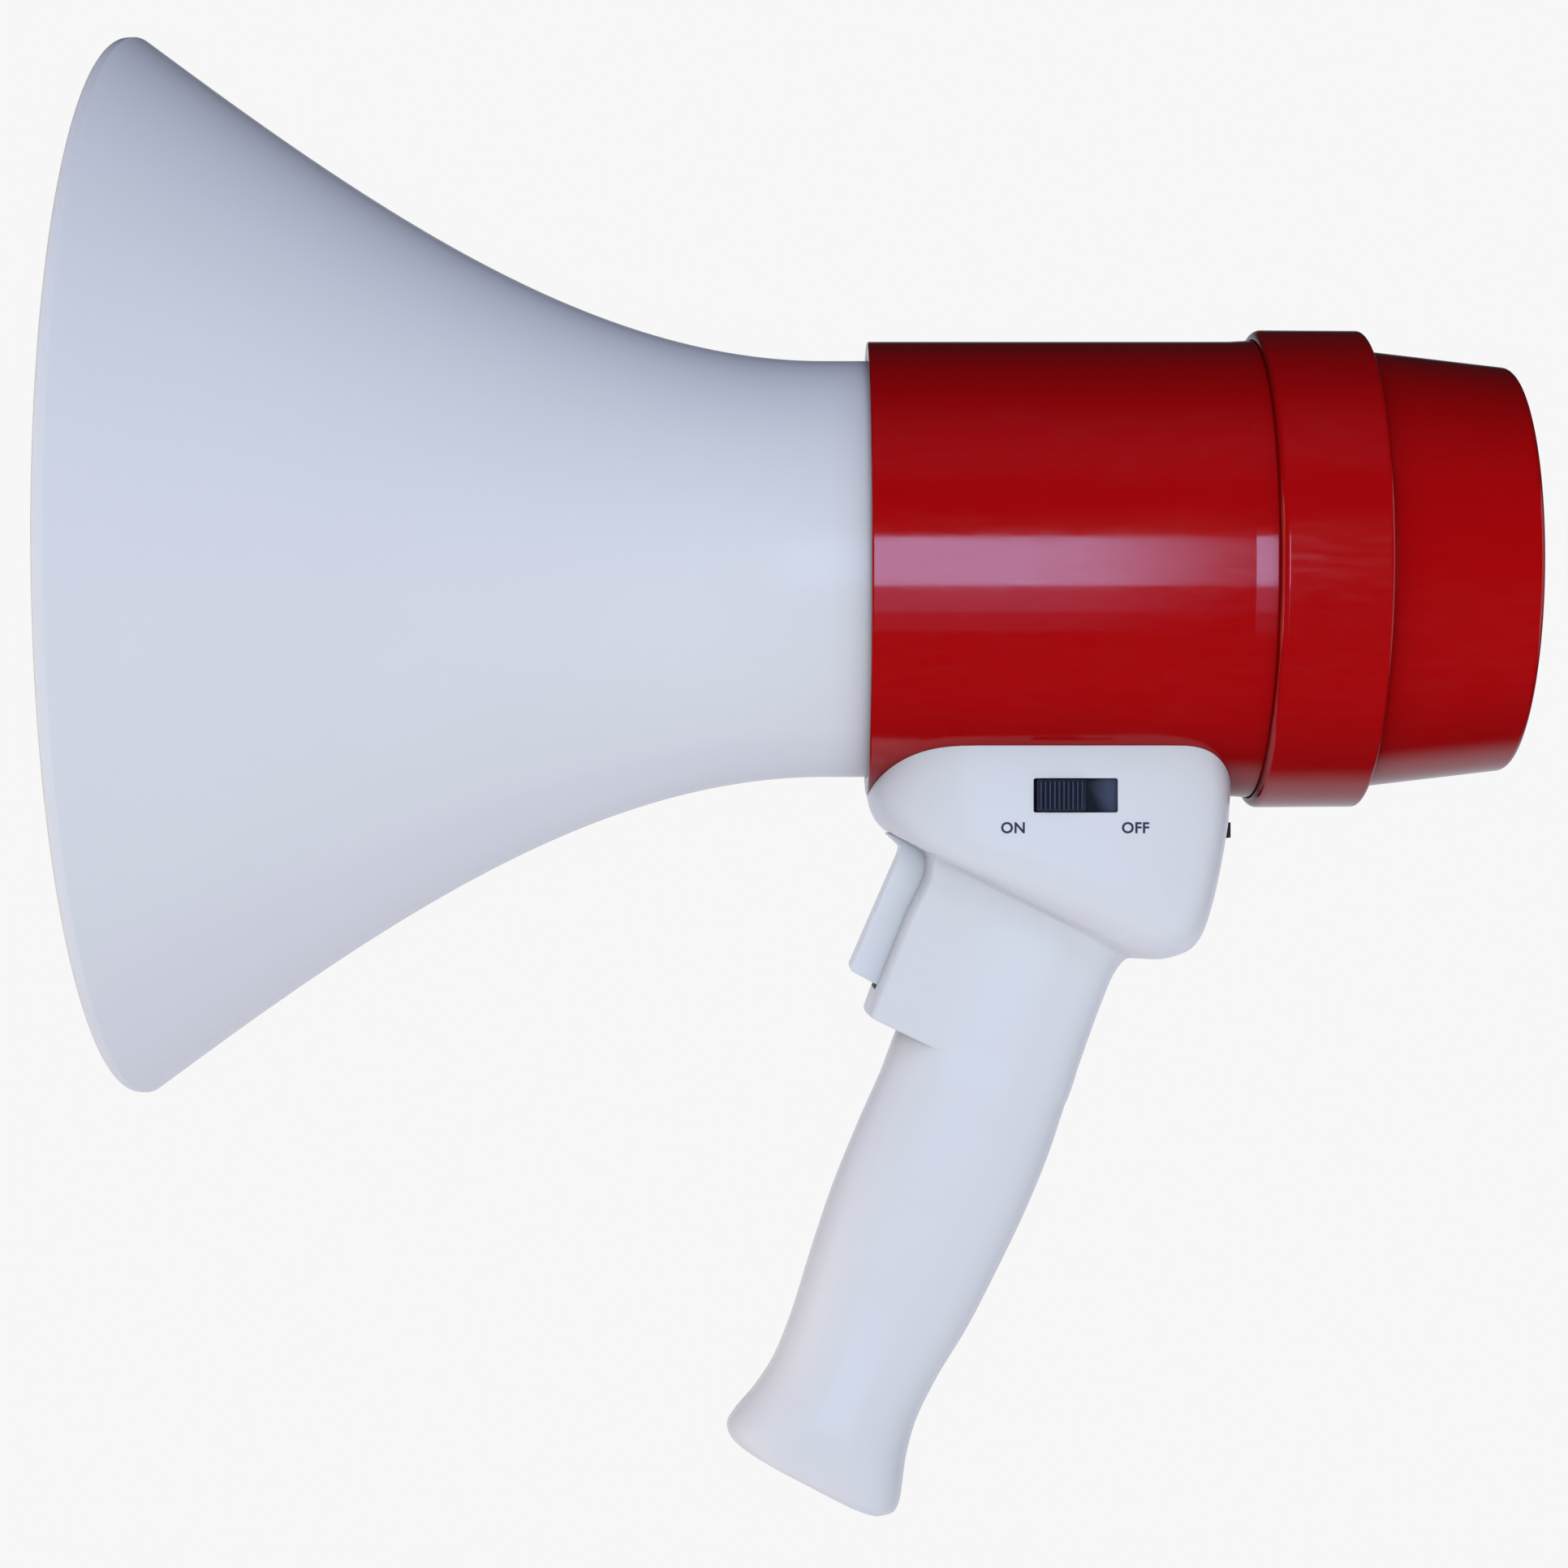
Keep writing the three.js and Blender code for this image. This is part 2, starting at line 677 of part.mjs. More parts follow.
// Half of the grip: side is -1 for the half with the switch and 1 for the half with the screw heads.
function makeGripHalf(side) {
  const keep = block([100, 260], side < 0 ? [-60, -GAP / 2] : [GAP / 2, 60], [-220, 0]);
  const outside = makeGripOutside();
  const shell = outside.subtract(makeGripInside());
  const reach = 40 * side;
  const boss = (x, z, radius) => crossRod(x, z, Math.min(0, reach), Math.max(0, reach), radius);
  const bosses = GRIP_SCREWS.map(([x, z]) => boss(x, z, side < 0 ? 3.6 : 4.8));
  const pinEnd = PIN.halfLength + GAP;
  const [pinFrom, pinTo] = side < 0 ? [-20, -TRIGGER_HALF - 0.6] : [TRIGGER_HALF + 0.6, 20];
  const pinBoss = crossRod(PIN.x, PIN.z, pinFrom, pinTo, 3.6);
  const { x, y } = SADDLE_SCREW;
  const ribY = side < 0 ? [-31, -y] : [y, 31];
  const saddleRib = block([x - 1.2, x + 1.2], ribY, [-57.5, -40]);
  const saddlePost = post(x, y * side, -57.5, -40, 3.6);
  const railY = side < 0 ? [-31, -BOARD.half + 1.6] : [BOARD.half - 1.6, 31];
  const railTop = BOARD.top - BOARD.thickness - GAP;
  const rail = block([BOARD.start + 4, BOARD.end - 6], railY, [railTop - 1.5, railTop]);
  const inner = joined(...bosses, pinBoss, saddleRib, saddlePost, rail).intersect(outside);
  const cuts = [
    rod(140, 262, BODY.outer + GAP, ROUND),
    sideOutline(triggerWindow, -TRIGGER_HALF - 0.4, TRIGGER_HALF + 0.4),
    crossRod(PIN.x, PIN.z, -pinEnd, pinEnd, PIN.radius + GAP),
    post(x, y * side, SADDLE_SCREW.tip - GAP, -30, SCREW.shank + GAP),
    ...GRIP_SCREWS.map(([sx, sz]) => crossRod(sx, sz, SCREW.reach - GAP, 40, SCREW.shank + GAP)),
  ];
  const slotHalf = WHEEL.thickness / 2 + 0.4;
  cuts.push(block([WHEEL.x, 250], [-8.4, 8.4], [WHEEL.z - slotHalf, WHEEL.z + slotHalf]));
  if (side < 0) cuts.push(block(SWITCH.window, [-40, -24], [SWITCH.bottom, SWITCH.top]));
  else cuts.push(...GRIP_SCREWS.map(([sx, sz]) => crossRod(sx, sz, SCREW.seat - GAP, 40, SCREW.head + 0.4)));
  return joined(shell, inner).subtract(joined(...cuts)).intersect(keep);
}

place("grip_left", makeGripHalf(-1), white);
place("grip_right", makeGripHalf(1), white);

function makeGripScrew(x, z) {
  const head = crossRod(x, z, SCREW.seat, SCREW.seat + SCREW.headHeight, SCREW.head);
  const shank = crossRod(x, z, SCREW.reach, SCREW.seat + 0.5, SCREW.shank, 10);
  const top = [SCREW.seat + 1, SCREW.seat + 4];
  const slotA = block([x - 2, x + 2], top, [z - 0.4, z + 0.4]);
  const slotB = block([x - 0.4, x + 0.4], top, [z - 2, z + 2]);
  return joined(head, shank).subtract(joined(slotA, slotB));
}

GRIP_SCREWS.forEach(([x, z], i) => place(`grip_screw_${i + 1}`, makeGripScrew(x, z), steel));

function makeSaddleScrew(side) {
  const { x, y, top, seat, tip } = SADDLE_SCREW;
  const head = post(x, side * y, seat, top, SCREW.head);
  return joined(head, post(x, side * y, tip, seat + 0.5, SCREW.shank, 10));
}

place("saddle_screw_1", makeSaddleScrew(-1), steel);
place("saddle_screw_2", makeSaddleScrew(1), steel);

// ---------------------------------------------------------------- trigger and its switch

// The finger lever: a channel with a straight front, a beak at the top and an ear for the pin.
function makeTrigger() {
  const outline = [
    [163.6, -58.1],
    [166.3, -60.3],
    [166.8, -61.6],
    [166.5, -62.9],
    [155.8, -87.4],
    [156, -88.4],
    [162.2, -91.4],
    [171.4, -70.4],
    [175.5, -69.9],
    [178.9, -66.5],
    [175.5, -63.3],
    [171.9, -62.2],
    [168.4, -60.1],
    [164.6, -58.3],
  ];
  const pocket = [
    [168.6, -64.6],
    [158.9, -86.8],
    [166, -90.4],
    [180, -84],
    [182, -60.8],
    [172.6, -63.9],
  ];
  const hollow = sideOutline(pocket, -TRIGGER_HALF + 2.2, TRIGGER_HALF - 2.2);
  const hole = crossRod(PIN.x, PIN.z, -20, 20, PIN.radius + GAP);
  return sideOutline(outline, -TRIGGER_HALF, TRIGGER_HALF).subtract(joined(hollow, hole));
}

// A return spring coiled round the pin, with one leg on the lever and one on the switch body.
class TorsionSpring extends THREE.Curve {
  getPoint(t, target = new THREE.Vector3()) {
    const coilRadius = 2.9;
    const legShare = 0.2;
    const turns = 3.5;
    const startAngle = -2.2;
    const coilT = THREE.MathUtils.clamp((t - legShare) / (1 - 2 * legShare), 0, 1);
    const angle = startAngle + 2 * Math.PI * turns * coilT;
    target.set(coilRadius * Math.cos(angle), -4 + 8 * coilT, coilRadius * Math.sin(angle));
    const leg = t < legShare ? (legShare - t) / legShare : (t - 1 + legShare) / legShare;
    if (leg > 0) {
      const direction = t < legShare ? 1 : -1;
      const [along, up] = [Math.sin(angle) * direction, -Math.cos(angle) * direction];
      target.x += along * 5 * leg;
      target.z += up * 5 * leg;
    }
    return target;
  }
}

function makeSwitchBody() {
  const shape = block([167, 178], [-3.2, 3.2], [PLUNGER.z - 4, PLUNGER.z + 3.6]);
  return shape.subtract(rod(160, 171.4, PLUNGER.radius + GAP, SMALL, 0, PLUNGER.z));
}

place("trigger", makeTrigger(), white);
place("trigger_pin", crossRod(PIN.x, PIN.z, -PIN.halfLength, PIN.halfLength, PIN.radius), steel);
const triggerSpring = solid(wireAlong(new TorsionSpring(), 0.45, 44, 4));
place("trigger_spring", triggerSpring.translate([PIN.x, 0, PIN.z]), steel);
place("ptt_switch_body", makeSwitchBody(), black);
place("ptt_plunger", rod(PLUNGER.tip, PLUNGER.end, PLUNGER.radius, SMALL, 0, PLUNGER.z), navy);

// ---------------------------------------------------------------- power switch

// The cap in the window, the thin plate behind the window that moves with it, and the stem.
function makePowerKnob() {
  const [start, end] = SWITCH.knob;
  const [plateFront, plateBack] = SWITCH.plateDepth;
  const cap = block([start, end], [SWITCH.face, plateFront + 0.2], [SWITCH.bottom + GAP, SWITCH.top - GAP]);
  const plate = block(SWITCH.plate, [plateFront, plateBack], [SWITCH.bottom - 0.4, SWITCH.top + 0.3]);
  const middle = (start + end) / 2;
  const stem = block([middle - 1.5, middle + 1.5], [plateBack - 0.2, -25.2], [-50.4, -49]);
  const grooves = [];
  for (let i = 1; i <= SWITCH.grooves; i += 1) {
    const x = start + ((end - start) * i) / (SWITCH.grooves + 1);
    grooves.push(block([x - 0.25, x + 0.25], [SWITCH.face - 1, SWITCH.face + 0.5], [-60, -40]));
  }
  return joined(cap, plate, stem).subtract(joined(...grooves));
}

function makePowerBody() {
  const body = block([192.4, 213.9], SWITCH.bodyDepth, [-54, -45.9]);
  const middle = (SWITCH.knob[0] + SWITCH.knob[1]) / 2;
  return body.subtract(block([middle - 2, middle + 8.6], [-30, -24.6], [-50.8, -48.6]));
}

place("power_switch_body", makePowerBody(), navy);
place("power_switch_knob", makePowerKnob(), black);

// ---------------------------------------------------------------- volume control and amplifier

function makeWheel() {
  const { x, z, radius, thickness, teeth } = WHEEL;
  const points = [];
  for (let i = 0; i < 2 * teeth; i += 1) {
    const angle = (Math.PI * i) / teeth;
    const reach = i % 2 === 0 ? radius : radius - 0.5;
    points.push(new THREE.Vector2(reach * Math.cos(angle), reach * Math.sin(angle)));
  }
  const outline = new THREE.Shape(points);
  const disc = new THREE.ExtrudeGeometry(outline, { depth: thickness, bevelEnabled: false });
  const bore = post(x, 0, z - 10, z + 10, 1.8);
  return solid(disc.translate(x, 0, z - thickness / 2)).subtract(bore);
}

function makePot() {
  const top = WHEEL.z - WHEEL.thickness / 2 - GAP;
  const can = block([WHEEL.x - 7, WHEEL.x + 3], [-5, 5], [BOARD.top + GAP, top]);
  return joined(can, post(WHEEL.x, 0, top - 0.5, WHEEL.z + 1.5, 1.5));
}

function makeHeatSink() {
  const { x, y, base, fins, fin, pitch, height } = HEAT_SINK;
  const floor = BOARD.top + GAP;
  const parts = [block(x, y, [floor, floor + base])];
  for (let i = 0; i < fins; i += 1) {
    const start = y[0] + pitch * i;
    parts.push(block(x, [start, start + fin], [floor, floor + height]));
  }
  return joined(...parts);
}

function makeCapacitor(y) {
  const { x, radius } = CAPACITOR;
  return rod(x[0], x[1], radius, 16, y, BOARD.top + radius + GAP + 0.1);
}

const boardY = [-BOARD.half, BOARD.half];
const boardZ = [BOARD.top - BOARD.thickness, BOARD.top];
place("volume_wheel", makeWheel(), black);
place("volume_pot", makePot(), steel);
place("amplifier_board", block([BOARD.start, BOARD.end], boardY, boardZ), boardGreen);
place("heat_sink", makeHeatSink(), aluminium);
CAPACITOR.y.forEach((y, i) => place(`capacitor_${i + 1}`, makeCapacitor(y), black));

export default megaphone;
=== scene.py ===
"""Looks for the handheld megaphone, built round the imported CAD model.

Lengths in the tables below are millimetres in the horn's own axes: X runs along the horn axis from
the bell's rim towards the mouthpiece, Y away from the switch side, Z up from the axis.
at() turns them into the frame's metres.
"""

import math

import bmesh
import bpy
import numpy as np
from mathutils import Matrix, Vector
from mathutils.bvhtree import BVHTree


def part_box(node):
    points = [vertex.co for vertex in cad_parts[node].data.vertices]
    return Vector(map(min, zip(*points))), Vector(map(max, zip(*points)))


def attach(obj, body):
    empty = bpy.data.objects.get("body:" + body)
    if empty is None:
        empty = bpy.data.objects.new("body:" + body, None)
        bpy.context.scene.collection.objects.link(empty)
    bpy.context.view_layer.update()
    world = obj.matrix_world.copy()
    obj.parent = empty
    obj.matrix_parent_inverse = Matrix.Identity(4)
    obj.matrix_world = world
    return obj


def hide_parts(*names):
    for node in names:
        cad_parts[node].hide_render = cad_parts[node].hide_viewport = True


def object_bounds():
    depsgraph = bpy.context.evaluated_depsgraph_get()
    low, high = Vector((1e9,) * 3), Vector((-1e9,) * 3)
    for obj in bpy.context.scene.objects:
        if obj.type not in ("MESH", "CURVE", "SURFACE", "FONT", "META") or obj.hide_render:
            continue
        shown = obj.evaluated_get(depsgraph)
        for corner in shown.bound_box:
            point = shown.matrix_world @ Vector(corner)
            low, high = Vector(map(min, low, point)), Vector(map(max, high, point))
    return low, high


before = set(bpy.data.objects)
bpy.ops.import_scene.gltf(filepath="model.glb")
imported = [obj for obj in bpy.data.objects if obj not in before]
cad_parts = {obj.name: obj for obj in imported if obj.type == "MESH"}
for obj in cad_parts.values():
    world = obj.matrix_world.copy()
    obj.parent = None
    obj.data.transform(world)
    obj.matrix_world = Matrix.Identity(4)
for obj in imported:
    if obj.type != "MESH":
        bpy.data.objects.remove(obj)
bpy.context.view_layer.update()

MM = 0.001
GAP = 0.3  # clearance between pieces that touch
WALL = 2.5  # moulded wall of the grip
RIM_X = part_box("bell")[0][0]
AXIS_Z = (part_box("bell")[0][2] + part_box("bell")[1][2]) / 2
SIDES = 160  # segments round a turned piece
FINE_SIDES = 256  # the same for the large pieces


def at(x, y, z):
    """A point of the horn's axes, in the frame's metres."""
    return Vector((RIM_X + x * MM, y * MM, AXIS_Z + z * MM))


def local(point):
    """A point of the frame, in mm in the horn's axes."""
    return (point[0] - RIM_X) / MM, point[1] / MM, (point[2] - AXIS_Z) / MM


def ends(node):
    """Where a turned CAD node starts and ends along the horn axis, and its largest radius, in mm."""
    low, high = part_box(node)
    return (low[0] - RIM_X) / MM, (high[0] - RIM_X) / MM, (high[2] - low[2]) / 2 / MM


def middle(node):
    """The centre of a CAD node's box, in the frame."""
    low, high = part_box(node)
    return [(low[i] + high[i]) / 2 for i in range(3)]


# ---------------------------------------------------------------- materials


class Shader:
    """A Principled material under construction, with short calls for its nodes."""

    def __init__(self, name):
        self.material = bpy.data.materials.new(name)
        self.material.use_nodes = True
        self.tree = self.material.node_tree
        self.surface = self.tree.nodes["Principled BSDF"]
        self.where = self.add("ShaderNodeTexCoord").outputs["Object"]

    def add(self, kind, **values):
        node = self.tree.nodes.new(kind)
        for key, value in values.items():
            setattr(node, key, value)
        return node

    def link(self, source, target):
        self.tree.links.new(source, target)

    def noise(self, scale, detail=3.0, roughness=0.55, stretch=None):
        node = self.add("ShaderNodeTexNoise")
        node.inputs["Scale"].default_value = scale
        node.inputs["Detail"].default_value = detail
        node.inputs["Roughness"].default_value = roughness
        source = self.where
        if stretch:
            mapping = self.add("ShaderNodeMapping")
            mapping.inputs["Scale"].default_value = stretch
            self.link(source, mapping.inputs["Vector"])
            source = mapping.outputs["Vector"]
        self.link(source, node.inputs["Vector"])
        return node.outputs["Fac"]

    def ramp(self, value, low, high, start=0.3, end=0.7):
        """value mapped from start..end onto low..high, which are numbers."""
        node = self.add("ShaderNodeMapRange")
        node.inputs["From Min"].default_value = start
        node.inputs["From Max"].default_value = end
        node.inputs["To Min"].default_value = low
        node.inputs["To Max"].default_value = high
        self.link(value, node.inputs["Value"])
        return node.outputs["Result"]

    def blend(self, factor, first, second):
        node = self.add("ShaderNodeMix", data_type="RGBA")
        for socket, value in ((node.inputs[6], first), (node.inputs[7], second)):
            if hasattr(value, "links"):
                self.link(value, socket)
            else:
                socket.default_value = (*value, 1)
        self.link(factor, node.inputs[0])
        return node.outputs[2]

    def bump(self, height, strength, distance, below=None):
        node = self.add("ShaderNodeBump")
        node.inputs["Strength"].default_value = strength
        node.inputs["Distance"].default_value = distance
        self.link(height, node.inputs["Height"])
        if below:
            self.link(below, node.inputs["Normal"])
        return node.outputs["Normal"]

    def set(self, socket, value):
        target = self.surface.inputs[socket]
        if hasattr(value, "links"):
            self.link(value, target)
        else:
            target.default_value = value


def scaled(color, factor):
    """A colour made darker or lighter, up to white."""
    return tuple(min(1.0, c * factor) for c in color)


CORNER_REACH = 0.009  # metres over which the painted shade in corners reaches
PLASTIC_IOR = 1.46


def moulded(name, color, roughness, grain=0.02, shine=0.5, tone=0.03, depth=0.0, corner_shade=0.25, wear_and_glint=0.0):
    """Moulded plastic: slight cloudiness, fine surface grain, handling scuffs, and edges lightened by use
    and by painted highlight.

    depth darkens the colour where the surface turns away from the camera, a painted shade; corner_shade
    darkens it in corners and hollows, a painted shade; and wear_and_glint lightens edges, slightly as worn
    edges and strongly as a painted highlight. A corner_shade above 0.5 dims the shine in corners too, as
    painted shade on the reflections.
    """
    shader = Shader(name)
    cloud = shader.noise(14, 4)
    scuff = shader.noise(90, 6, 0.7, stretch=(1.0, 1.0, 6.0))
    tint = shader.blend(shader.ramp(cloud, 0, 1), scaled(color, 1 - tone), scaled(color, 1 + tone))
    # Edges lightened: slightly, as worn edges, by default; strongly, as a painted highlight, when the
    # factor is large.
    edges = shader.add("ShaderNodeNewGeometry").outputs["Pointiness"]
    rubbed_and_glint = 1 + (wear_and_glint or 2.5 * tone)
    tint = shader.blend(shader.ramp(edges, 0, 0.35, 0.52, 0.6), tint, scaled(color, rubbed_and_glint))
    # Painted shade: the colour darkens where the surface turns away from the camera.
    if depth:
        facing = shader.add("ShaderNodeLayerWeight").outputs["Facing"]
        tint = shader.blend(shader.ramp(facing, 0, depth, 0.15, 1.0), tint, scaled(color, 0.02))
    # Painted shade: the colour darkens in corners and hollows, where shade falls.
    corner = shader.add("ShaderNodeAmbientOcclusion", samples=6)
    corner.inputs["Distance"].default_value = CORNER_REACH
    tint = shader.blend(shader.ramp(corner.outputs["AO"], corner_shade, 0, 0.35, 0.95), tint, scaled(color, 0.1))
    shader.set("Base Color", tint)
    shader.set("Roughness", shader.ramp(scuff, roughness - 0.05, roughness + 0.06))
    orange_peel = shader.bump(shader.noise(260, 2), grain, 0.0006)
    shader.set("Normal", shader.bump(shader.noise(2600, 3), grain * 2.5, 0.00006, orange_peel))
    shader.set("IOR", PLASTIC_IOR)
    # Painted shade on the shine: reflections are dimmed in corners.
    if corner_shade > 0.5:
        shader.set("Specular IOR Level", shader.ramp(corner.outputs["AO"], 0.05, shine, 0.5, 0.95))
    else:
        shader.set("Specular IOR Level", shine)
    return shader.material


def metal(name, color, roughness, brushed=(1.0, 1.0, 1.0)):
    """Bare metal: fine streaks, stretched where it is brushed, and faint stains."""
    shader = Shader(name)
    streak = shader.noise(420, 4, 0.6, stretch=brushed)
    stain = shader.noise(35, 5)
    shader.set("Base Color", shader.blend(shader.ramp(stain, 0, 1), scaled(color, 0.86), color))
    shader.set("Roughness", shader.ramp(streak, roughness - 0.1, roughness + 0.1))
    shader.set("Normal", shader.bump(streak, 0.08, 0.0001))
    shader.set("Metallic", 1.0)
    return shader.material


def foamed(name, color):
    """Open-cell foam: dark pores between pale struts."""
    shader = Shader(name)
    cells = shader.add("ShaderNodeTexVoronoi", feature="DISTANCE_TO_EDGE")
    cells.inputs["Scale"].default_value = 900
    shader.link(shader.where, cells.inputs["Vector"])
    struts = shader.ramp(cells.outputs["Distance"], 1, 0, 0.0, 0.25)
    shader.set("Base Color", shader.blend(struts, scaled(color, 0.3), scaled(color, 1.6)))
    shader.set("Roughness", 0.95)
    shader.set("Normal", shader.bump(struts, 0.6, 0.0006))
    shader.set("Sheen Weight", 0.25)
    return shader.material


def circuit(name, color):
    """Solder mask over a pattern of tracks."""
    shader = Shader(name)
    tracks = shader.add("ShaderNodeTexBrick", offset=0.37)
    tracks.inputs["Scale"].default_value = 210
    tracks.inputs["Mortar Size"].default_value = 0.08
    shader.link(shader.where, tracks.inputs["Vector"])
    line = tracks.outputs["Fac"]
    shader.set("Base Color", shader.blend(line, color, scaled(color, 2.2)))
    shader.set("Roughness", shader.ramp(shader.noise(300, 3), 0.28, 0.42))
    shader.set("Normal", shader.bump(line, 0.3, 0.00005))
    return shader.material


WHITE_TONE = (0.764, 0.788, 0.832)
RED_TONE = (0.43, 0.0022, 0.0035)
# White: painted shade in its corners and hollows.
white = moulded("white_abs", WHITE_TONE, 0.14, grain=0.004, shine=0.1, tone=0.012, corner_shade=0.42)
# Red: painted shade where it turns away from the camera, and in its corners.
red = moulded("red_abs", RED_TONE, 0.1, grain=0.002, tone=0.03, depth=0.72, corner_shade=0.6)
black = moulded("black_abs", (0.011, 0.013, 0.022), 0.32, grain=0.04, tone=0.15)
# Painted highlight: the slide's edges are lightened strongly, standing in for light glinting off the ribs.
ribbed = moulded("ribbed_slide", (0.0125, 0.015, 0.028), 0.4, grain=0.02, shine=0.08, tone=0.12, wear_and_glint=16)
navy = moulded("navy_abs", (0.018, 0.022, 0.05), 0.5, grain=0.04, tone=0.12)
ink = moulded("legend_ink", (0.028, 0.032, 0.075), 0.6, grain=0.02, tone=0.08)
rubber = moulded("black_rubber", (0.02, 0.02, 0.021), 0.75, grain=0.08, tone=0.2)
sleeve = moulded("cell_sleeve", (0.03, 0.075, 0.19), 0.3, grain=0.01, tone=0.08)
film = moulded("polyimide_film", (0.36, 0.19, 0.06), 0.35, grain=0.02, tone=0.1)
ferrite = moulded("sintered_ferrite", (0.03, 0.03, 0.032), 0.7, grain=0.12, tone=0.25)
steel = metal("zinc_plated_steel", (0.56, 0.57, 0.6), 0.34)
aluminium = metal("cast_aluminium", (0.68, 0.69, 0.71), 0.45, brushed=(1.0, 1.0, 5.0))
foam = foamed("black_foam", (0.035, 0.035, 0.037))
board = circuit("solder_mask", (0.012, 0.11, 0.035))


# ---------------------------------------------------------------- meshes


def make_object(name, vertices, faces):
    """A mesh object in the scene, its vertices in the frame's metres."""
    mesh = bpy.data.meshes.new(name)
    mesh.from_pydata([tuple(v) for v in vertices], [], faces)
    mesh.update()
    obj = bpy.data.objects.new(name, mesh)
    bpy.context.scene.collection.objects.link(obj)
    return obj


def face_outwards(obj):
    """Merges doubled points and turns every face out."""
    work = bmesh.new()
    work.from_mesh(obj.data)
    bmesh.ops.remove_doubles(work, verts=work.verts, dist=1e-7)
    bmesh.ops.recalc_face_normals(work, faces=work.faces)
    if work.calc_volume(signed=True) < 0:
        bmesh.ops.reverse_faces(work, faces=work.faces)
    work.to_mesh(obj.data)
    work.free()


def rounded(outline, arc_steps=6):
    """A closed outline of (a, b) or (a, b, radius) corners, with an arc in place of each radius."""
    points = []
    count = len(outline)
    for i, corner in enumerate(outline):
        here = np.array(corner[:2], float)
        radius = corner[2] if len(corner) > 2 else 0
        if not radius:
            points.append(tuple(here))
            continue
        before = np.array(outline[i - 1][:2], float) - here
        after = np.array(outline[(i + 1) % count][:2], float) - here
        before /= np.linalg.norm(before)
        after /= np.linalg.norm(after)
        half = math.acos(max(-1, min(1, before @ after))) / 2
        reach = radius / math.tan(half)
        centre = here + (before + after) / np.linalg.norm(before + after) * radius / math.sin(half)
        start, end = here + before * reach - centre, here + after * reach - centre
        a0 = math.atan2(start[1], start[0])
        sweep = (math.atan2(end[1], end[0]) - a0 + math.pi) % (2 * math.pi) - math.pi
        for step in range(arc_steps + 1):
            angle = a0 + sweep * step / arc_steps
            points.append((centre[0] + radius * math.cos(angle), centre[1] + radius * math.sin(angle)))
    return points


def turned(name, outline, sides=SIDES, centre=(0.0, 0.0)):
    """A solid of revolution along X from closed (x, radius) corners; radius 0 lies on the axis."""
    points = rounded(outline)
    rings = []
    vertices = []
    for x, radius in points:
        if radius < 1e-6:
            rings.append([len(vertices)] * sides)
            vertices.append(at(x, *centre))
            continue
        rings.append(range(len(vertices), len(vertices) + sides))
        for i in range(sides):
            angle = 2 * math.pi * i / sides
            y, z = radius * math.cos(angle), radius * math.sin(angle)
            vertices.append(at(x, centre[0] + y, centre[1] + z))
    faces = []
    for first, second in zip(rings, rings[1:] + rings[:1]):
        for i in range(sides):
            j = (i + 1) % sides
            face = list(dict.fromkeys([first[i], first[j], second[j], second[i]]))
            if len(face) > 2:
                faces.append(face)
    obj = make_object(name, vertices, faces)
    face_outwards(obj)
    return obj


def prism(name, outline, low, high, lift=lambda a, b, c: (a, c, b)):
    """An outline of (a, b) corners made solid from low to high along the third axis."""
    points = rounded(outline)
    count = len(points)
    vertices = [at(*lift(a, b, c)) for c in (low, high) for a, b in points]
    sides = [[i, (i + 1) % count, count + (i + 1) % count, count + i] for i in range(count)]
    obj = make_object(name, vertices, [list(range(count)), list(range(count, 2 * count)), *sides])
    face_outwards(obj)
    return obj


def rod(name, start, end, radius, sides=48):
    """A rod between two points of the horn's axes."""
    start, end = Vector(start), Vector(end)
    along = (end - start).normalized()
    across = along.orthogonal().normalized()
    other = along.cross(across)
    vertices = []
    for point in (start, end):
        for i in range(sides):
            angle = 2 * math.pi * i / sides
            vertices.append(at(*(point + radius * (math.cos(angle) * across + math.sin(angle) * other))))
    walls = [[i, (i + 1) % sides, sides + (i + 1) % sides, sides + i] for i in range(sides)]
    obj = make_object(name, vertices, [list(range(sides)), list(range(sides, 2 * sides)), *walls])
    face_outwards(obj)
    return obj


def tube(name, points, radius, sides=12):
    """A closed round wire along points given in the frame."""
    vertices = []
    up = Vector((1, 0, 0))
    for i, point in enumerate(points):
        along = (points[min(i + 1, len(points) - 1)] - points[max(i - 1, 0)]).normalized()
        across = along.cross(up).normalized()
        other = along.cross(across)
        for k in range(sides):
            angle = 2 * math.pi * k / sides
            vertices.append(point + radius * (math.cos(angle) * across + math.sin(angle) * other))
    faces = []
    for i in range(len(points) - 1):
        for k in range(sides):
            n = (k + 1) % sides
            faces.append([i * sides + k, i * sides + n, (i + 1) * sides + n, (i + 1) * sides + k])
    faces += [list(range(sides)), list(range((len(points) - 1) * sides, len(points) * sides))]
    obj = make_object(name, vertices, faces)
    face_outwards(obj)
    return obj


def box(name, x, y, z):
    """A block from three (low, high) ranges."""
    return prism(name, [(x[0], z[0]), (x[1], z[0]), (x[1], z[1]), (x[0], z[1])], *y)


def settle(obj):
    """Bakes an object's modifiers into its mesh."""
    graph = bpy.context.evaluated_depsgraph_get()
    mesh = bpy.data.meshes.new_from_object(obj.evaluated_get(graph))
    obj.modifiers.clear()
    obj.data = mesh
    return obj


def combine(target, operation, *tools):
    """Joins tools to the target, cuts them from it or keeps what they share, and removes them."""
    for tool in tools:
        modifier = target.modifiers.new("combine", "BOOLEAN")
        modifier.operation = operation
        modifier.solver = "MANIFOLD"
        modifier.object = tool
        settle(target)
        bpy.data.objects.remove(tool)
    return target


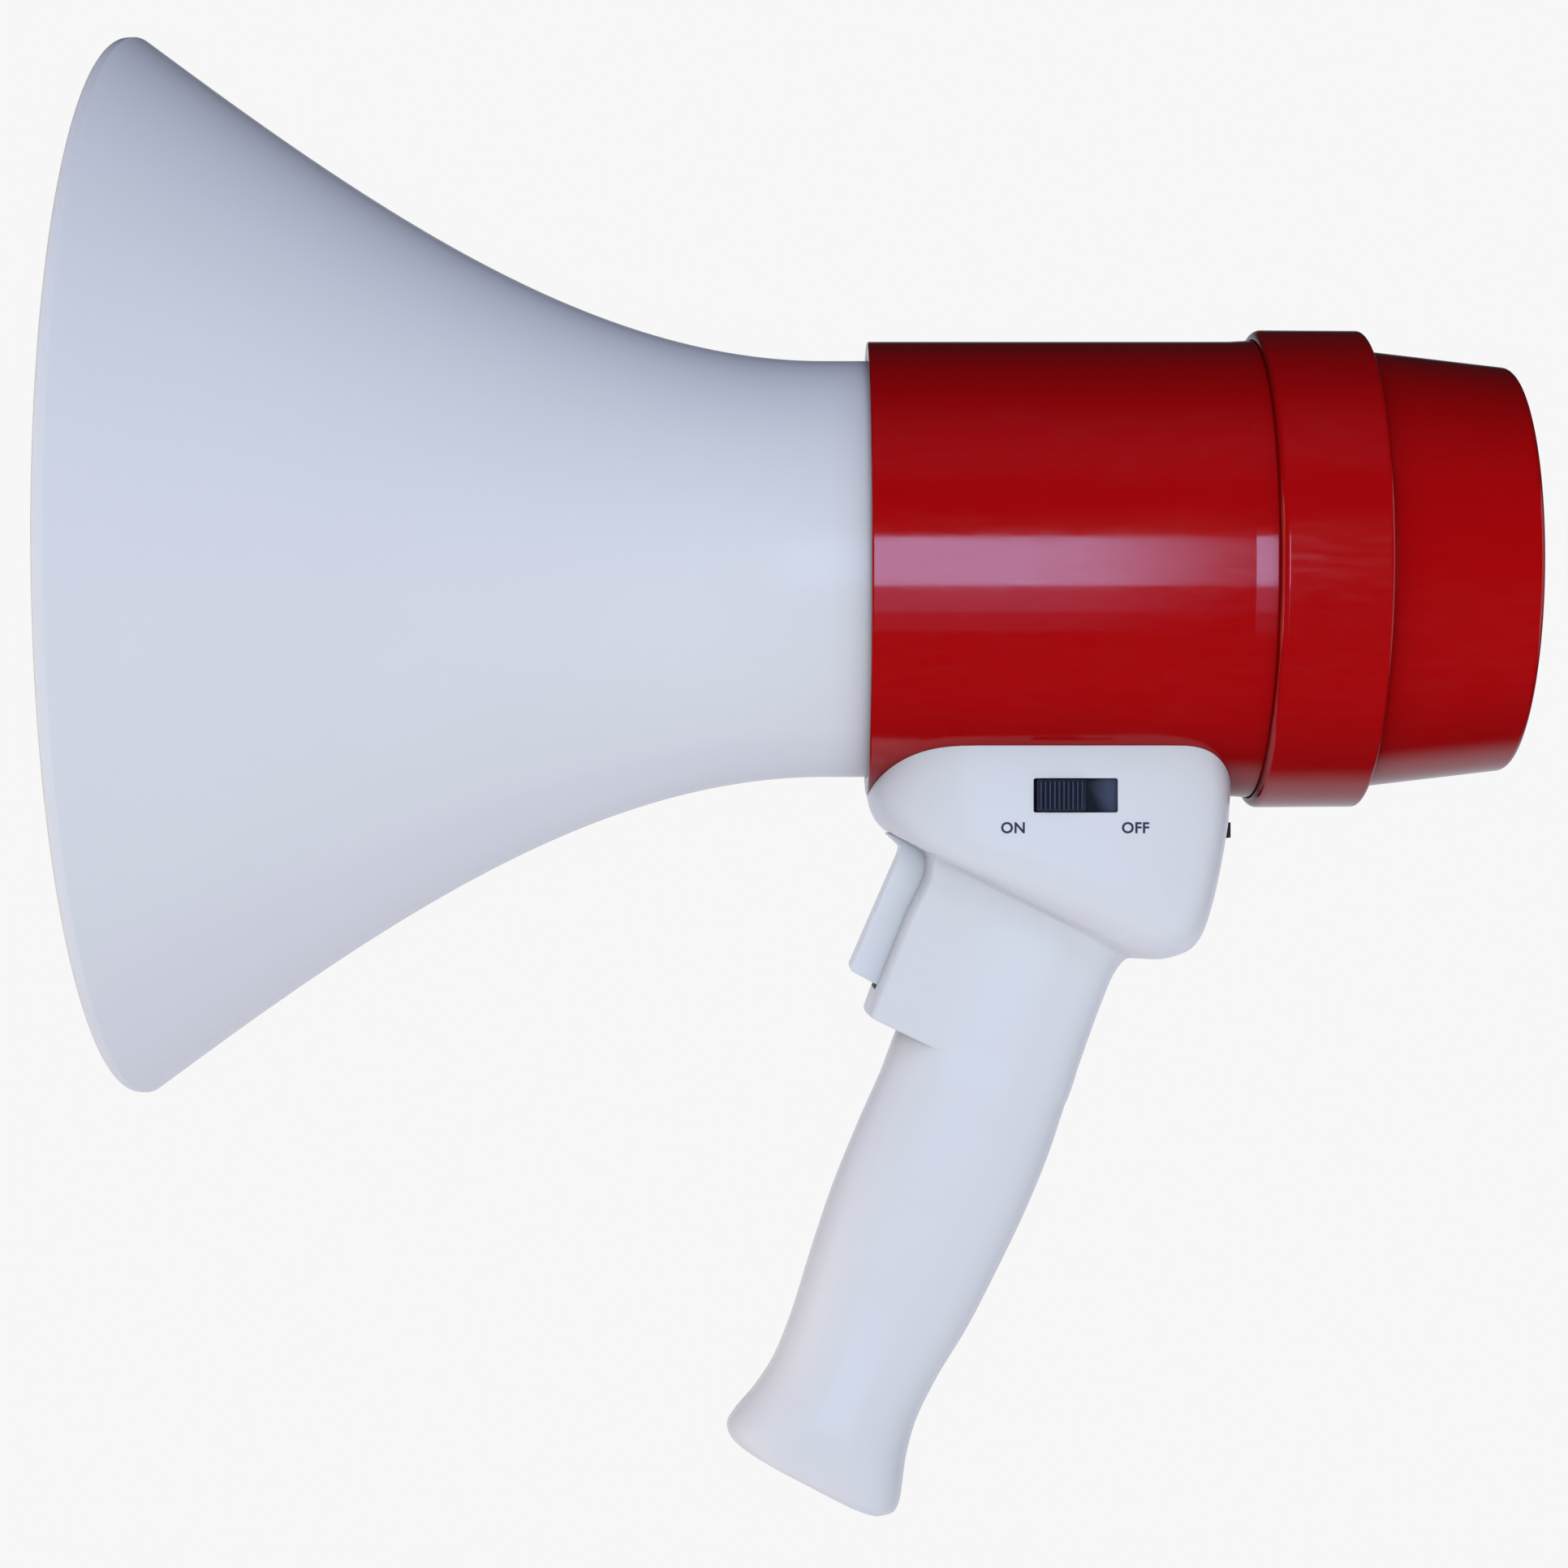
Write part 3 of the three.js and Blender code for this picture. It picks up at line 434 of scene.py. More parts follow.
def bevel(obj, width, segments=3, angle=35):
    """Rounds the edges sharper than an angle, with a width in mm."""
    modifier = obj.modifiers.new("edges", "BEVEL")
    modifier.width = width * MM
    modifier.segments = segments
    modifier.limit_method = "ANGLE"
    modifier.angle_limit = math.radians(angle)
    return settle(obj)


def smooth(obj, angle=34, weighted=True):
    """Smooth shading, with edges sharper than an angle kept crisp."""
    obj.data.shade_smooth()
    obj.data.set_sharp_from_angle(angle=math.radians(angle))
    if weighted:
        modifier = obj.modifiers.new("normals", "WEIGHTED_NORMAL")
        modifier.keep_sharp = True
        modifier.weight = 60


def finish_piece(obj, material, body, slot, *nodes, weighted=True):
    """Gives a piece its looks and the body it rides on, and hides the CAD nodes it stands for; slot is not
    used.
    """
    obj.data.materials.clear()
    obj.data.materials.append(material)
    smooth(obj, weighted=weighted)
    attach(obj, body)
    if nodes:
        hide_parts(*nodes)
    return obj


# ---------------------------------------------------------------- horn

BELL_WALL = 2.4
BELL_FOOT = {"outer": 47.3, "hole": 37.0, "thickness": 2.1}
FLARE = ((2.5, 115.0), (52.5, 78.0), (100.0, 45.8), (150.0, 45.8))


def flare_outline(steps=56):
    """Points of the flare's outside and, one wall further in, of its inside."""
    outside, inside = [], []
    p = [np.array(point) for point in FLARE]
    for i in range(steps + 1):
        t = i / steps
        s = 1 - t
        point = s**3 * p[0] + 3 * s * s * t * p[1] + 3 * s * t * t * p[2] + t**3 * p[3]
        slope = s * s * (p[1] - p[0]) + 2 * s * t * (p[2] - p[1]) + t * t * (p[3] - p[2])
        slope /= np.linalg.norm(slope)
        outside.append(tuple(point))
        inside.append((point[0] + slope[1] * BELL_WALL, point[1] - slope[0] * BELL_WALL))
    return outside, inside


def make_bell():
    _, end, rim = ends("bell")
    outside, inside = flare_outline()
    neck = FLARE[-1][1]
    outer, hole, thickness = BELL_FOOT.values()
    lip = [(0.5, rim - BELL_WALL - 0.1, 0.4), (0, rim - BELL_WALL + 0.4, 0.3), (0, rim - 0.1, 1.3)]
    foot = [
        (end - thickness, neck),
        (end - thickness, outer),
        (end, outer),
        (end, hole),
        (end - thickness, hole),
        (end - thickness, neck - BELL_WALL),
    ]
    return turned("bell_shell", [*lip, *outside, *foot, *inside[::-1]], FINE_SIDES)


finish_piece(make_bell(), white, "body", "white_plastic", "bell")


def make_reflector():
    start, end, _ = ends("reflector")
    length = end - start
    outside = [(0, 0), (0.4, 4), (1.6, 9), (3.5, 14), (6.2, 19), (9.8, 23.6), (14.2, 27.6), (20, 31)]
    outside += [(27, 33.3), (37, 34.7), (52, 35.6), (70, 36.4), (length, 37, 0.8)]
    inside = [(length, 35, 0.8), (52, 33.6), (26, 31), (15.5, 26), (8, 18), (3.5, 9), (2, 0)]
    return turned("horn_reflector", [(start + x, *rest) for x, *rest in outside + inside])


finish_piece(make_reflector(), white, "body", "white_plastic", "reflector")


# ---------------------------------------------------------------- body, ring and rear cover


BODY_WALL = 2.3
BODY_LIP = {"hole": 46.1, "depth": 5.1}
SWELL = [(238.8, 0), (239, 0.006), (239.2, 0.018), (243.3, 0.25), (243.8, 0.26), (244.8, 0)]
RING_LIP = {"hole": 48.3, "depth": 6.4}
RING_BORE = 50.4


def make_body_shell():
    """The tube, with a front lip and a slight swell just in front of the locking ring."""
    start, end, outer = ends("body_shell")
    hole, depth = BODY_LIP.values()
    return turned(
        "body_tube",
        [
            (start, hole, 0.3),
            (start, outer, 0.5),
            *[(x, outer + rise) for x, rise in SWELL],
            (end, outer, 0.5),
            (end, outer - BODY_WALL),
            (start + depth, outer - BODY_WALL),
            (start + depth, hole),
        ],
        FINE_SIDES,
    )


def make_ring():
    """The locking ring, slightly tapered towards the cover."""
    start, end, outer = ends("locking_ring")
    hole, depth = RING_LIP.values()
    return turned(
        "collar_ring",
        [
            (start, RING_BORE, 0.3),
            (start, outer, 1.9),
            (end, outer - 0.15, 1.0),
            (end, hole, 0.4),
            (end - depth, hole),
            (end - depth, RING_BORE),
        ],
        FINE_SIDES,
    )


def make_cap():
    """The mouthpiece cover, with a cup for the microphone behind its grille seat."""
    start, end, flange = ends("rear_cap")
    cup, cup_wall = 34.2, 2.2
    front, seat, grille_hole = 276, 291.7, 38.4
    return turned(
        "mouthpiece_cover",
        [
            (front, 0),
            (front, cup + cup_wall, 0.8),
            (289.4, cup + cup_wall, 0.8),
            (289.4, 42.9, 1.0),
            (275.5, 44.6, 6),
            (268, 45.4, 6),
            (start, 45.6, 0.4),
            (start, flange, 0.5),
            (start + 4, flange, 0.5),
            (start + 4, 47.9, 0.3),
            (269, 47.9, 12),
            (end, 44.25, 1.7),
            (end, 41.4, 1.2),
            (294, grille_hole, 1.5),
            (seat, grille_hole, 0.2),
            (seat, cup, 0.6),
            (front + 2, cup, 1.2),
            (front + 2, 0),
        ],
        FINE_SIDES,
    )


GRILLE_HOLES = {"pitch": 5.2, "radius": 1.5, "margin": 3.6, "rows": 7}


def make_grille():
    """A disc with round holes in staggered rows."""
    start, end, outer = ends("mic_grille")
    disc = turned("mouthpiece_grille", [(start, 0), (start, outer, 0.2), (end, outer, 0.5), (end, 0)], 128)
    pitch, radius, margin, rows = GRILLE_HOLES.values()
    for row in range(-rows, rows + 1):
        for column in range(-rows, rows + 1):
            y = pitch * (column + 0.5 * (row % 2))
            z = pitch * row * math.sqrt(3) / 2
            if math.hypot(y, z) < outer - margin:
                combine(disc, "DIFFERENCE", rod("hole", (start - 1, y, z), (end + 1, y, z), radius, 20))
    return disc


finish_piece(make_body_shell(), red, "body", "red_plastic", "body_shell")
finish_piece(make_ring(), red, "ring", "red_plastic", "locking_ring")
finish_piece(make_cap(), red, "rear_cover", "red_plastic", "rear_cap")
finish_piece(make_grille(), black, "rear_cover", "black_plastic", "mic_grille")


# ---------------------------------------------------------------- grip and housing

# Sections across the grip, from its foot to the body: front point x and z, rear point x and z, half
# width, how far the front and the rear corners reach along the section, and the corners' power.
GRIP = [
    (131.4, -191.6, 163.1, -208.2, 14.6, 12, 12, 2.2),
    (129.3, -190.4, 165.7, -207.4, 16.2, 13, 13, 2.2),
    (128.7, -188.6, 166.9, -204.9, 17.4, 14, 14, 2.2),
    (130.1, -186.0, 167.4, -201.8, 18.2, 14, 14, 2.2),
    (134.7, -180.5, 168.1, -196.4, 18.6, 14, 14, 2.2),
    (138.9, -174.0, 169.9, -189.0, 18.0, 14, 14, 2.2),
    (142.7, -164.7, 174.2, -179.6, 17.2, 14, 14, 2.2),
    (147.3, -150.0, 181.9, -166.8, 16.8, 14, 15, 2.2),
    (151.8, -136.6, 188.5, -154.0, 16.8, 14, 15, 2.2),
    (157.5, -122.5, 194.9, -140.6, 17.0, 14, 15, 2.2),
    (163.0, -110.0, 200.0, -128.0, 17.2, 14, 15, 2.2),
    (166.2, -101.5, 202.6, -120.0, 17.4, 12, 15, 2.3),
]
NECK = [*GRIP[-2:], (168.6, -96.0, 204.5, -114.0, 17.4, 12, 15, 2.3)]
BLOCK = [
    (158.7, -97.2, 202.9, -118.8, 17.3, 2.4, 15, 2.3),
    (162.4, -87.8, 206.8, -108.0, 17.7, 2.4, 15, 2.3),
    (167.3, -75.6, 211.3, -95.6, 18.2, 2.4, 15, 2.3),
    (171.7, -65.0, 214.6, -88.2, 18.5, 2.6, 15, 2.3),
]
HOUSING = [
    (171.5, -62.6, 217.4, -85.7, 18.8, 3.2, 15, 2.3),
    (167.6, -59.7, 223.1, -85.9, 24.2, 6.5, 15, 2.3),
    (163.9, -57.8, 229.3, -84.2, 28.6, 18, 16, 2.5),
    (161.6, -55.4, 232.5, -80.8, 30.6, 22, 16, 2.6),
    (160.3, -52.6, 235.0, -73.0, 31.2, 23.5, 15, 2.8),
    (159.7, -49.5, 236.8, -64.4, 31.2, 23.5, 15, 2.9),
    (159.5, -46.0, 238.4, -54.0, 31.2, 23.5, 15, 2.9),
    (159.5, -36.0, 239.2, -36.0, 31.2, 23.5, 15, 2.9),
]


def slopes_through(knots, places):
    """Slopes at the knots that never let the curve overshoot them."""
    steps = np.diff(knots, axis=0) / np.diff(places)[:, None]
    slopes = np.zeros_like(knots)
    slopes[0], slopes[-1] = steps[0], steps[-1]
    before, after = steps[:-1], steps[1:]
    total = before + after
    safe = np.where(np.abs(total) < 1e-9, 1, total)
    slopes[1:-1] = np.where(before * after > 0, 2 * before * after / safe, 0)
    return slopes


def smoothed(sections, steps):
    """Sections filled in by a curve through them, steps to each gap."""
    knots = np.array(sections, float)
    spans = np.linalg.norm(np.diff(knots[:, :4], axis=0), axis=1)
    slopes = slopes_through(knots, np.concatenate([[0], np.cumsum(spans)]))
    rows = []
    for i, span in enumerate(spans):
        for step in range(steps):
            t = step / steps
            a, b = 2 * t**3 - 3 * t**2 + 1, t**3 - 2 * t**2 + t
            c, d = 3 * t**2 - 2 * t**3, t**3 - t**2
            row = a * knots[i] + b * span * slopes[i] + c * knots[i + 1] + d * span * slopes[i + 1]
            rows.append(row)
    rows.append(knots[-1])
    return rows


LEAST_CORNER = 2.5  # how far a corner of a shrunk section still reaches


def outline_of(row, corner_steps, shrink=0.0, lift=0.0):
    """Points round one section, shrunk by a wall all round and lifted."""
    fx, fz, rx, rz, half, nose, tail, power = row
    front, rear = np.array([fx, fz + lift]), np.array([rx, rz + lift])
    step = (rear - front) / np.linalg.norm(rear - front)
    front, rear = front + step * shrink, rear - step * shrink
    half, nose, tail = half - shrink, max(nose - shrink, LEAST_CORNER), max(tail - shrink, LEAST_CORNER)
    bends = []
    for i in range(corner_steps + 1):
        angle = math.pi / 2 * i / corner_steps
        inwards = 1 - max(0.0, math.cos(angle)) ** (2 / power)
        bends.append((inwards, math.sin(angle) ** (2 / power)))
    near = [(front + step * nose * inwards, -half * across) for inwards, across in bends]
    near += [(rear - step * tail * inwards, -half * across) for inwards, across in reversed(bends)]
    far = [(point, -y) for point, y in near[-2:0:-1]]
    return [at(point[0], y, point[1]) for point, y in near + far]


def loft(name, sections, steps, corner_steps=20, shrink=0.0, lifts=None):
    """A solid through smoothed sections, shrunk by a wall, with each section lifted by its own height."""
    rows = smoothed(sections, steps)
    if lifts is None:
        lifts = [0.0] * len(sections)
    lift_at = np.interp(np.arange(len(rows)) / steps, np.arange(len(sections)), lifts)
    rings = [outline_of(row, corner_steps, shrink, lift) for row, lift in zip(rows, lift_at)]
    count = len(rings[0])
    vertices = [point for ring in rings for point in ring]
    faces = []
    for row in range(len(rings) - 1):
        for i in range(count):
            j = (i + 1) % count
            faces.append([row * count + i, row * count + j, (row + 1) * count + j, (row + 1) * count + i])
    faces.append(list(range(count)))
    faces.append(list(range((len(rings) - 1) * count, len(rings) * count)))
    obj = make_object(name, vertices, faces)
    face_outwards(obj)
    return obj


def shelf_rows(radius=0.9, count=4):
    """The block's lower edge, rounded over by a small radius, up to where its straight front starts."""
    fx, fz, rx, rz, half, *shape = BLOCK[0]
    across = np.array([rx - fx, rz - fz]) / math.hypot(rx - fx, rz - fz)
    upwards = np.array([-across[1], across[0]])
    rows = []
    for i in range(count + 1):
        angle = math.pi / 2 * i / count
        inwards = radius * (1 - math.sin(angle))
        shift = upwards * radius * (1 - math.cos(angle))
        front, rear = shift + across * inwards, shift - across * inwards
        rows.append((fx + front[0], fz + front[1], rx + rear[0], rz + rear[1], half - inwards, *shape))
    return rows


def grip_outside():
    """The whole grip and housing as one solid."""
    solid = loft("grip_outside", GRIP, 7)
    neck = loft("neck", NECK, 4)
    upper = loft("upper", [*shelf_rows(), *BLOCK[1:], *HOUSING], 6)
    return combine(solid, "UNION", neck, upper)


def grip_outside_coarse():
    """The same, slightly smaller and with fewer faces, to trim the bosses by."""
    solid = loft("coarse", GRIP, 2, 8, 0.4)
    upper = loft("coarse_upper", [*BLOCK, *HOUSING], 2, 8, 0.4)
    return combine(solid, "UNION", loft("coarse_neck", NECK, 2, 8, 0.4), upper)


# Sections inside the grip: where it opens into the block, and where the block opens into the housing.
PASSAGE = [
    (169, -96, 204.6, -113.6, 17.4, 12, 15, 2.3),
    (174, -84, 209.6, -101.6, 17.4, 12, 15, 2.3),
]
RIDGE_PASSAGE = (175.9, -59.4, 216, -78.5, 18.6, 6, 14, 2.4)
HOUSING_FLOOR = [3.4, 2.6, 1.6, 0, 0]  # how far the housing's inside is lifted off its outside


def grip_inside():
    """The space inside the grip and housing."""
    solid = loft("grip_inside", GRIP[3:], 2, 6, WALL)
    block = loft("block_inside", [*BLOCK, RIDGE_PASSAGE], 2, 6, WALL, [WALL, 0, 0, 0, 0])
    housing = loft("housing_inside", HOUSING[3:], 2, 6, WALL, HOUSING_FLOOR)
    passage = loft("passage", [*GRIP[-2:], *PASSAGE], 2, 6, WALL)
    return combine(solid, "UNION", passage, block, housing)


GRIP_SCREWS = [middle(f"grip_screw_{i}") for i in range(1, 6)]
PIN = middle("trigger_pin")
TRIGGER_HALF = (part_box("trigger")[1][1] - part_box("trigger")[0][1]) / 2 / MM
TRIGGER_WINDOW = [
    (162.0, -57.8),
    (150, -66),
    (145, -86),
    (157, -90.5),
    (160, -91.6),
    (165.4, -93.6),
    (167.5, -94.1),
    (181, -84),
    (181, -63),
    (173.4, -60.6),
    (168.6, -59.6),
    (164.6, -57.8),
]
SWITCH_WINDOW = ((194.2, 212.1), (-53.4, -46.1))


SADDLE_BORE = 50.1
BOSS = {"threaded": 3.6, "headed": 4.8}
SCREW_HOLE = {"shank": 1.7, "start": -8.7, "head": 3.2, "seat": 12}
WHEEL_SLOT = {"half": 8.4, "clearance": 0.4, "end": 250}
OUTSIDE = 40  # mm from the middle plane, past the grip's sides


def screw_bosses(side):
    """The posts that the grip screws run through."""
    radius = BOSS["threaded"] if side < 0 else BOSS["headed"]
    bosses = []
    for place in GRIP_SCREWS:
        x, _, z = local(place)
        boss = rod("boss", (x, 0, z), (x, OUTSIDE * side, z), radius, 32)
        bosses.append(combine(boss, "INTERSECT", grip_outside_coarse()))
    return bosses


def wheel_slot():
    low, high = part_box("volume_wheel")
    x, _, z = local(middle("volume_wheel"))
    half = (high[2] - low[2]) / 2 / MM + WHEEL_SLOT["clearance"]
    end = WHEEL_SLOT["end"]
    outline = [(x, z - half), (end, z - half), (end, z + half), (x, z + half)]
    return prism("slot", outline, -WHEEL_SLOT["half"], WHEEL_SLOT["half"])


def grip_half(name, side):
    """One half of the grip: side -1 has the switch window, side 1 the screw heads' recesses."""
    half = grip_outside()
    shell = combine(half, "DIFFERENCE", grip_inside())
    combine(shell, "UNION", *screw_bosses(side))
    cuts = [
        rod("bore", (140, 0, 0), (262, 0, 0), SADDLE_BORE, FINE_SIDES),
        prism("window", TRIGGER_WINDOW, -TRIGGER_HALF - 0.4, TRIGGER_HALF + 0.4),
        wheel_slot(),
    ]
    for place in GRIP_SCREWS:
        x, _, z = local(place)
        start, seat = SCREW_HOLE["start"], SCREW_HOLE["seat"]
        cuts.append(rod("shank", (x, start, z), (x, OUTSIDE, z), SCREW_HOLE["shank"], 24))
        if side > 0:
            cuts.append(rod("recess", (x, seat, z), (x, OUTSIDE, z), SCREW_HOLE["head"], 40))
    if side < 0:
        (x0, x1), (z0, z1) = SWITCH_WINDOW
        window = [(x0, z0, 0.5), (x1, z0, 0.5), (x1, z1, 0.5), (x0, z1, 0.5)]
        cuts.append(prism("switch_window", window, -OUTSIDE, -24))
    combine(shell, "DIFFERENCE", *cuts)
    keep = (-60, -GAP / 2) if side < 0 else (GAP / 2, 60)
    combine(shell, "INTERSECT", box("keep", (100, 260), keep, (-220, 0)))
    shell.name = name
    return shell


finish_piece(grip_half("grip_switch_half", -1), white, "body", "white_plastic", "grip_left", weighted=False)
finish_piece(grip_half("grip_screw_half", 1), white, "body", "white_plastic", "grip_right", weighted=False)


# ---------------------------------------------------------------- trigger

TRIGGER = [
    (163.5, -58.0, 0.2),
    (166.9, -61.1, 1.0),
    (166.6, -62.6, 1.2),
    (155.6, -87.9, 0.8),
    (162.2, -91.4, 0.6),
    (171.4, -70.4, 1.0),
    (175.5, -69.9, 1.0),
    (178.9, -66.5, 1.2),
    (175.5, -63.3, 1.2),
    (171.8, -61.9, 1.0),
    (168.4, -60.0, 1.0),
    (164.6, -58.2, 0.2),
]
TRIGGER_POCKET = [
    (168.6, -64.6),
    (158.9, -86.8),
    (166, -90.4),
    (180, -84),
    (182, -60.8),
    (172.6, -63.9),
]


LEVER_WALL = 2.2
PIN_HOLE = 1.8


def make_trigger():
    """The finger lever, hollow from behind, with the hole for its pin."""
    lever = bevel(prism("lever", TRIGGER, -TRIGGER_HALF, TRIGGER_HALF), 0.5, 3, 60)
    pocket = prism("pocket", TRIGGER_POCKET, -TRIGGER_HALF + LEVER_WALL, TRIGGER_HALF - LEVER_WALL)
    x, _, z = local(PIN)
    lever = combine(lever, "DIFFERENCE", pocket, rod("hole", (x, -20, z), (x, 20, z), PIN_HOLE))
    lever.name = "finger_trigger"
    return lever


finish_piece(make_trigger(), white, "trigger", "white_plastic", "trigger")


# ---------------------------------------------------------------- power switch, wheel and legend

DUST_PLATE = ((191.5, 213.4), (-28.4, -27.7), (-53.8, -45.8))
KNOB = {"start": SWITCH_WINDOW[0][0] + 0.7, "length": 10.4, "back": -28.0, "margin": 0.35}
RIB = {"count": 10, "half": 0.2, "depth": 1.2}
STEM = {"half": 1.5, "front": -28.2, "z": (-50.4, -49)}


def make_knob():
    """The ribbed cap, the thin plate behind the window that moves with it, and the switch's stem."""
    x0, x1 = KNOB["start"], KNOB["start"] + KNOB["length"]
    z0, z1 = SWITCH_WINDOW[1][0] + GAP, SWITCH_WINDOW[1][1] - GAP
    face = local(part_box("power_switch_knob")[0])[1]
    back = local(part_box("power_switch_knob")[1])[1]
    outline = [(x0, z0, 0.5), (x1, z0, 0.5), (x1, z1, 0.5), (x0, z1, 0.5)]
    cap = bevel(prism("knob_cap", outline, face + 0.6, KNOB["back"]), 0.25, 3)
    margin = KNOB["margin"]
    pitch = (x1 - x0 - 2 * margin) / RIB["count"]
    ribs = []
    for i in range(RIB["count"]):
        centre = x0 + margin + pitch * (i + 0.5)
        across = (centre - RIB["half"], centre + RIB["half"])
        rib = box("rib", across, (face, face + RIB["depth"]), (z0 + 0.4, z1 - 0.4))
        ribs.append(bevel(rib, 0.14, 2))
    centre = (x0 + x1) / 2
    stem = box("stem", (centre - STEM["half"], centre + STEM["half"]), (STEM["front"], back), STEM["z"])
    combine(cap, "UNION", box("dust_plate", *DUST_PLATE), stem, *ribs)
    cap.name = "power_slide_knob"
    return cap


WHEEL_TEETH = 40
TOOTH_DEPTH = 0.55


def make_wheel():
    """The toothed thumbwheel, flat across the vertical axis."""
    low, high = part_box("volume_wheel")
    x, _, z = local(middle("volume_wheel"))
    radius = (high[0] - low[0]) / 2 / MM
    outline = []
    for i in range(4 * WHEEL_TEETH):
        angle = math.pi * i / (2 * WHEEL_TEETH)
        reach = radius if i % 4 < 2 else radius - TOOTH_DEPTH
        outline.append((x + reach * math.cos(angle), reach * math.sin(angle)))
    wheel = prism("wheel", outline, local(low)[2], local(high)[2], lift=lambda a, b, c: (a, b, c))
    wheel = bevel(wheel, 0.15, 2, 60)
    combine(wheel, "DIFFERENCE", rod("hole", (x, 0, z - 10), (x, 0, z + 10), PIN_HOLE))
    wheel.name = "volume_thumbwheel"
    return wheel


LEGEND_SIZE = 2.25 / 0.7  # type size for capitals 2.25 mm high
LEGEND_RELIEF = 0.03
LEGEND_BASE = -57.7
LEGENDS = {"ON": 189.9, "OFF": 215.8}  # where each word is centred


def make_legend(text, x):
    """A printed word on the housing's flat side, as thin raised ink."""
    curve = bpy.data.curves.new("legend", "FONT")
    curve.body = text
    curve.align_x = "CENTER"
    curve.size = LEGEND_SIZE * MM
    curve.space_character = 1.06
    curve.extrude = 0.1 * MM
    curve.offset = 0.08 * MM
    words = bpy.data.objects.new("legend_" + text.lower(), curve)
    bpy.context.scene.collection.objects.link(words)
    side = local(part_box("grip_left")[0])[1]
    words.matrix_world = Matrix.Translation(at(x, side, LEGEND_BASE)) @ Matrix.Rotation(math.pi / 2, 4, "X")
    graph = bpy.context.evaluated_depsgraph_get()
    mesh = bpy.data.meshes.new_from_object(words.evaluated_get(graph))
    mesh.transform(words.matrix_world)
    bpy.data.objects.remove(words)
    under = BVHTree.FromObject(bpy.data.objects["grip_switch_half"], graph)
    for vertex in mesh.vertices:
        hit = under.ray_cast(Vector((vertex.co.x, 2 * side * MM, vertex.co.z)), Vector((0, 1, 0)))[0]
        raised = LEGEND_RELIEF if vertex.co.y < side * MM else -0.05
        vertex.co.y = hit.y - raised * MM
    obj = bpy.data.objects.new("legend_" + text.lower(), mesh)
    bpy.context.scene.collection.objects.link(obj)
    return obj


finish_piece(make_knob(), ribbed, "power_knob", "black_plastic", "power_switch_knob")
finish_piece(make_wheel(), black, "wheel", "black_plastic", "volume_wheel")
for text, x in LEGENDS.items():
    finish_piece(make_legend(text, x), ink, "body", "navy_plastic", weighted=False)


# ---------------------------------------------------------------- screws, cells and springs


SCREW = {"head": 2.8, "head_height": 2, "shank": 1.4}
CROSS = {"half_length": 1.7, "half_width": 0.35, "depth": 1.1}


def make_grip_screw(index):
    """A pan-head screw along Y with a cross recess."""
    low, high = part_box(f"grip_screw_{index}")
    x, _, z = local(middle(f"grip_screw_{index}"))
    tip, top = local(low)[1], local(high)[1]
    head = bevel(rod("head", (x, top - SCREW["head_height"], z), (x, top, z), SCREW["head"]), 0.45, 3, 50)
    shank = rod("shank", (x, tip, z), (x, top - 1.5, z), SCREW["shank"], 32)
    combine(head, "UNION", shank)
    long, wide, depth = CROSS.values()
    for a, b in ((long, wide), (wide, long)):
        combine(head, "DIFFERENCE", box("slot", (x - a, x + a), (top - depth, top + 1), (z - b, z + b)))
    head.name = f"cross_screw_{index}"
    return head


for number in range(1, 6):
    finish_piece(make_grip_screw(number), steel, "body", "steel", f"grip_screw_{number}")


def make_cell(index):
    """A cell with a plain sleeve, a steel rim at each end and its nub."""
    node = f"battery_cell_{index}"
    start, end, radius = ends(node)
    centre = local(middle(node))[1:]
    outline = [
        (start, 0),
        (start, radius - 0.6, 0.4),
        (start + 0.6, radius, 0.6),
        (end - 2.2, radius, 0.6),
        (end - 1.6, radius - 1.6, 0.4),
        (end - 1.6, 4.0, 0.4),
        (end, 3.8, 0.6),
        (end, 0),
    ]
    if index % 2 == 0:
        outline = [(start + end - corner[0], *corner[1:]) for corner in outline]
    obj = turned("cell_" + str(index), outline, 72, centre)
    finish_piece(obj, sleeve, "body", "cell_wrap", node)
    obj.data.materials.append(steel)
    axis = Vector((0, centre[0] * MM, AXIS_Z + centre[1] * MM))
    for face in obj.data.polygons:
        outwards = face.center - axis
        if math.hypot(outwards.y, outwards.z) < (radius - 0.9) * MM:
            face.material_index = 1


def make_spring(index, turns=3.5, wire=0.45):
    """A conical coil against a cell's flat end."""
    node = f"battery_spring_{index}"
    start, end, radius = ends(node)
    y, z = local(middle(node))[1:]
    length = end - start - 2 * wire
    points = []
    steps = int(turns * 28)
    for i in range(steps + 1):
        t = i / steps
        coil = (radius - wire) * (1 - 0.25 * t if index % 2 else 0.75 + 0.25 * t)
        angle = 2 * math.pi * turns * t
        place = at(start + wire + length * t, y + coil * math.cos(angle), z + coil * math.sin(angle))
        points.append(place)
    return tube(f"coil_{index}", points, wire * MM)


for number in range(1, 7):
    make_cell(number)
    finish_piece(make_spring(number), steel, "body", "steel", f"battery_spring_{number}")


def make_holder():
    """The cell carrier: two discs on a hub."""
    start, end, outer = ends("battery_holder")
    hub, thick = 13, 2.2
    return turned(
        "cell_carrier",
        [
            (start, 0),
            (start, outer, 0.5),
            (start + thick, outer, 0.5),
            (start + thick, hub, 1.0),
            (end - thick, hub, 1.0),
            (end - thick, outer, 0.5),
            (end, outer, 0.5),
            (end, 0),
        ],
    )


finish_piece(make_holder(), black, "body", "black_plastic", "battery_holder")


# ---------------------------------------------------------------- CAD nodes that stay

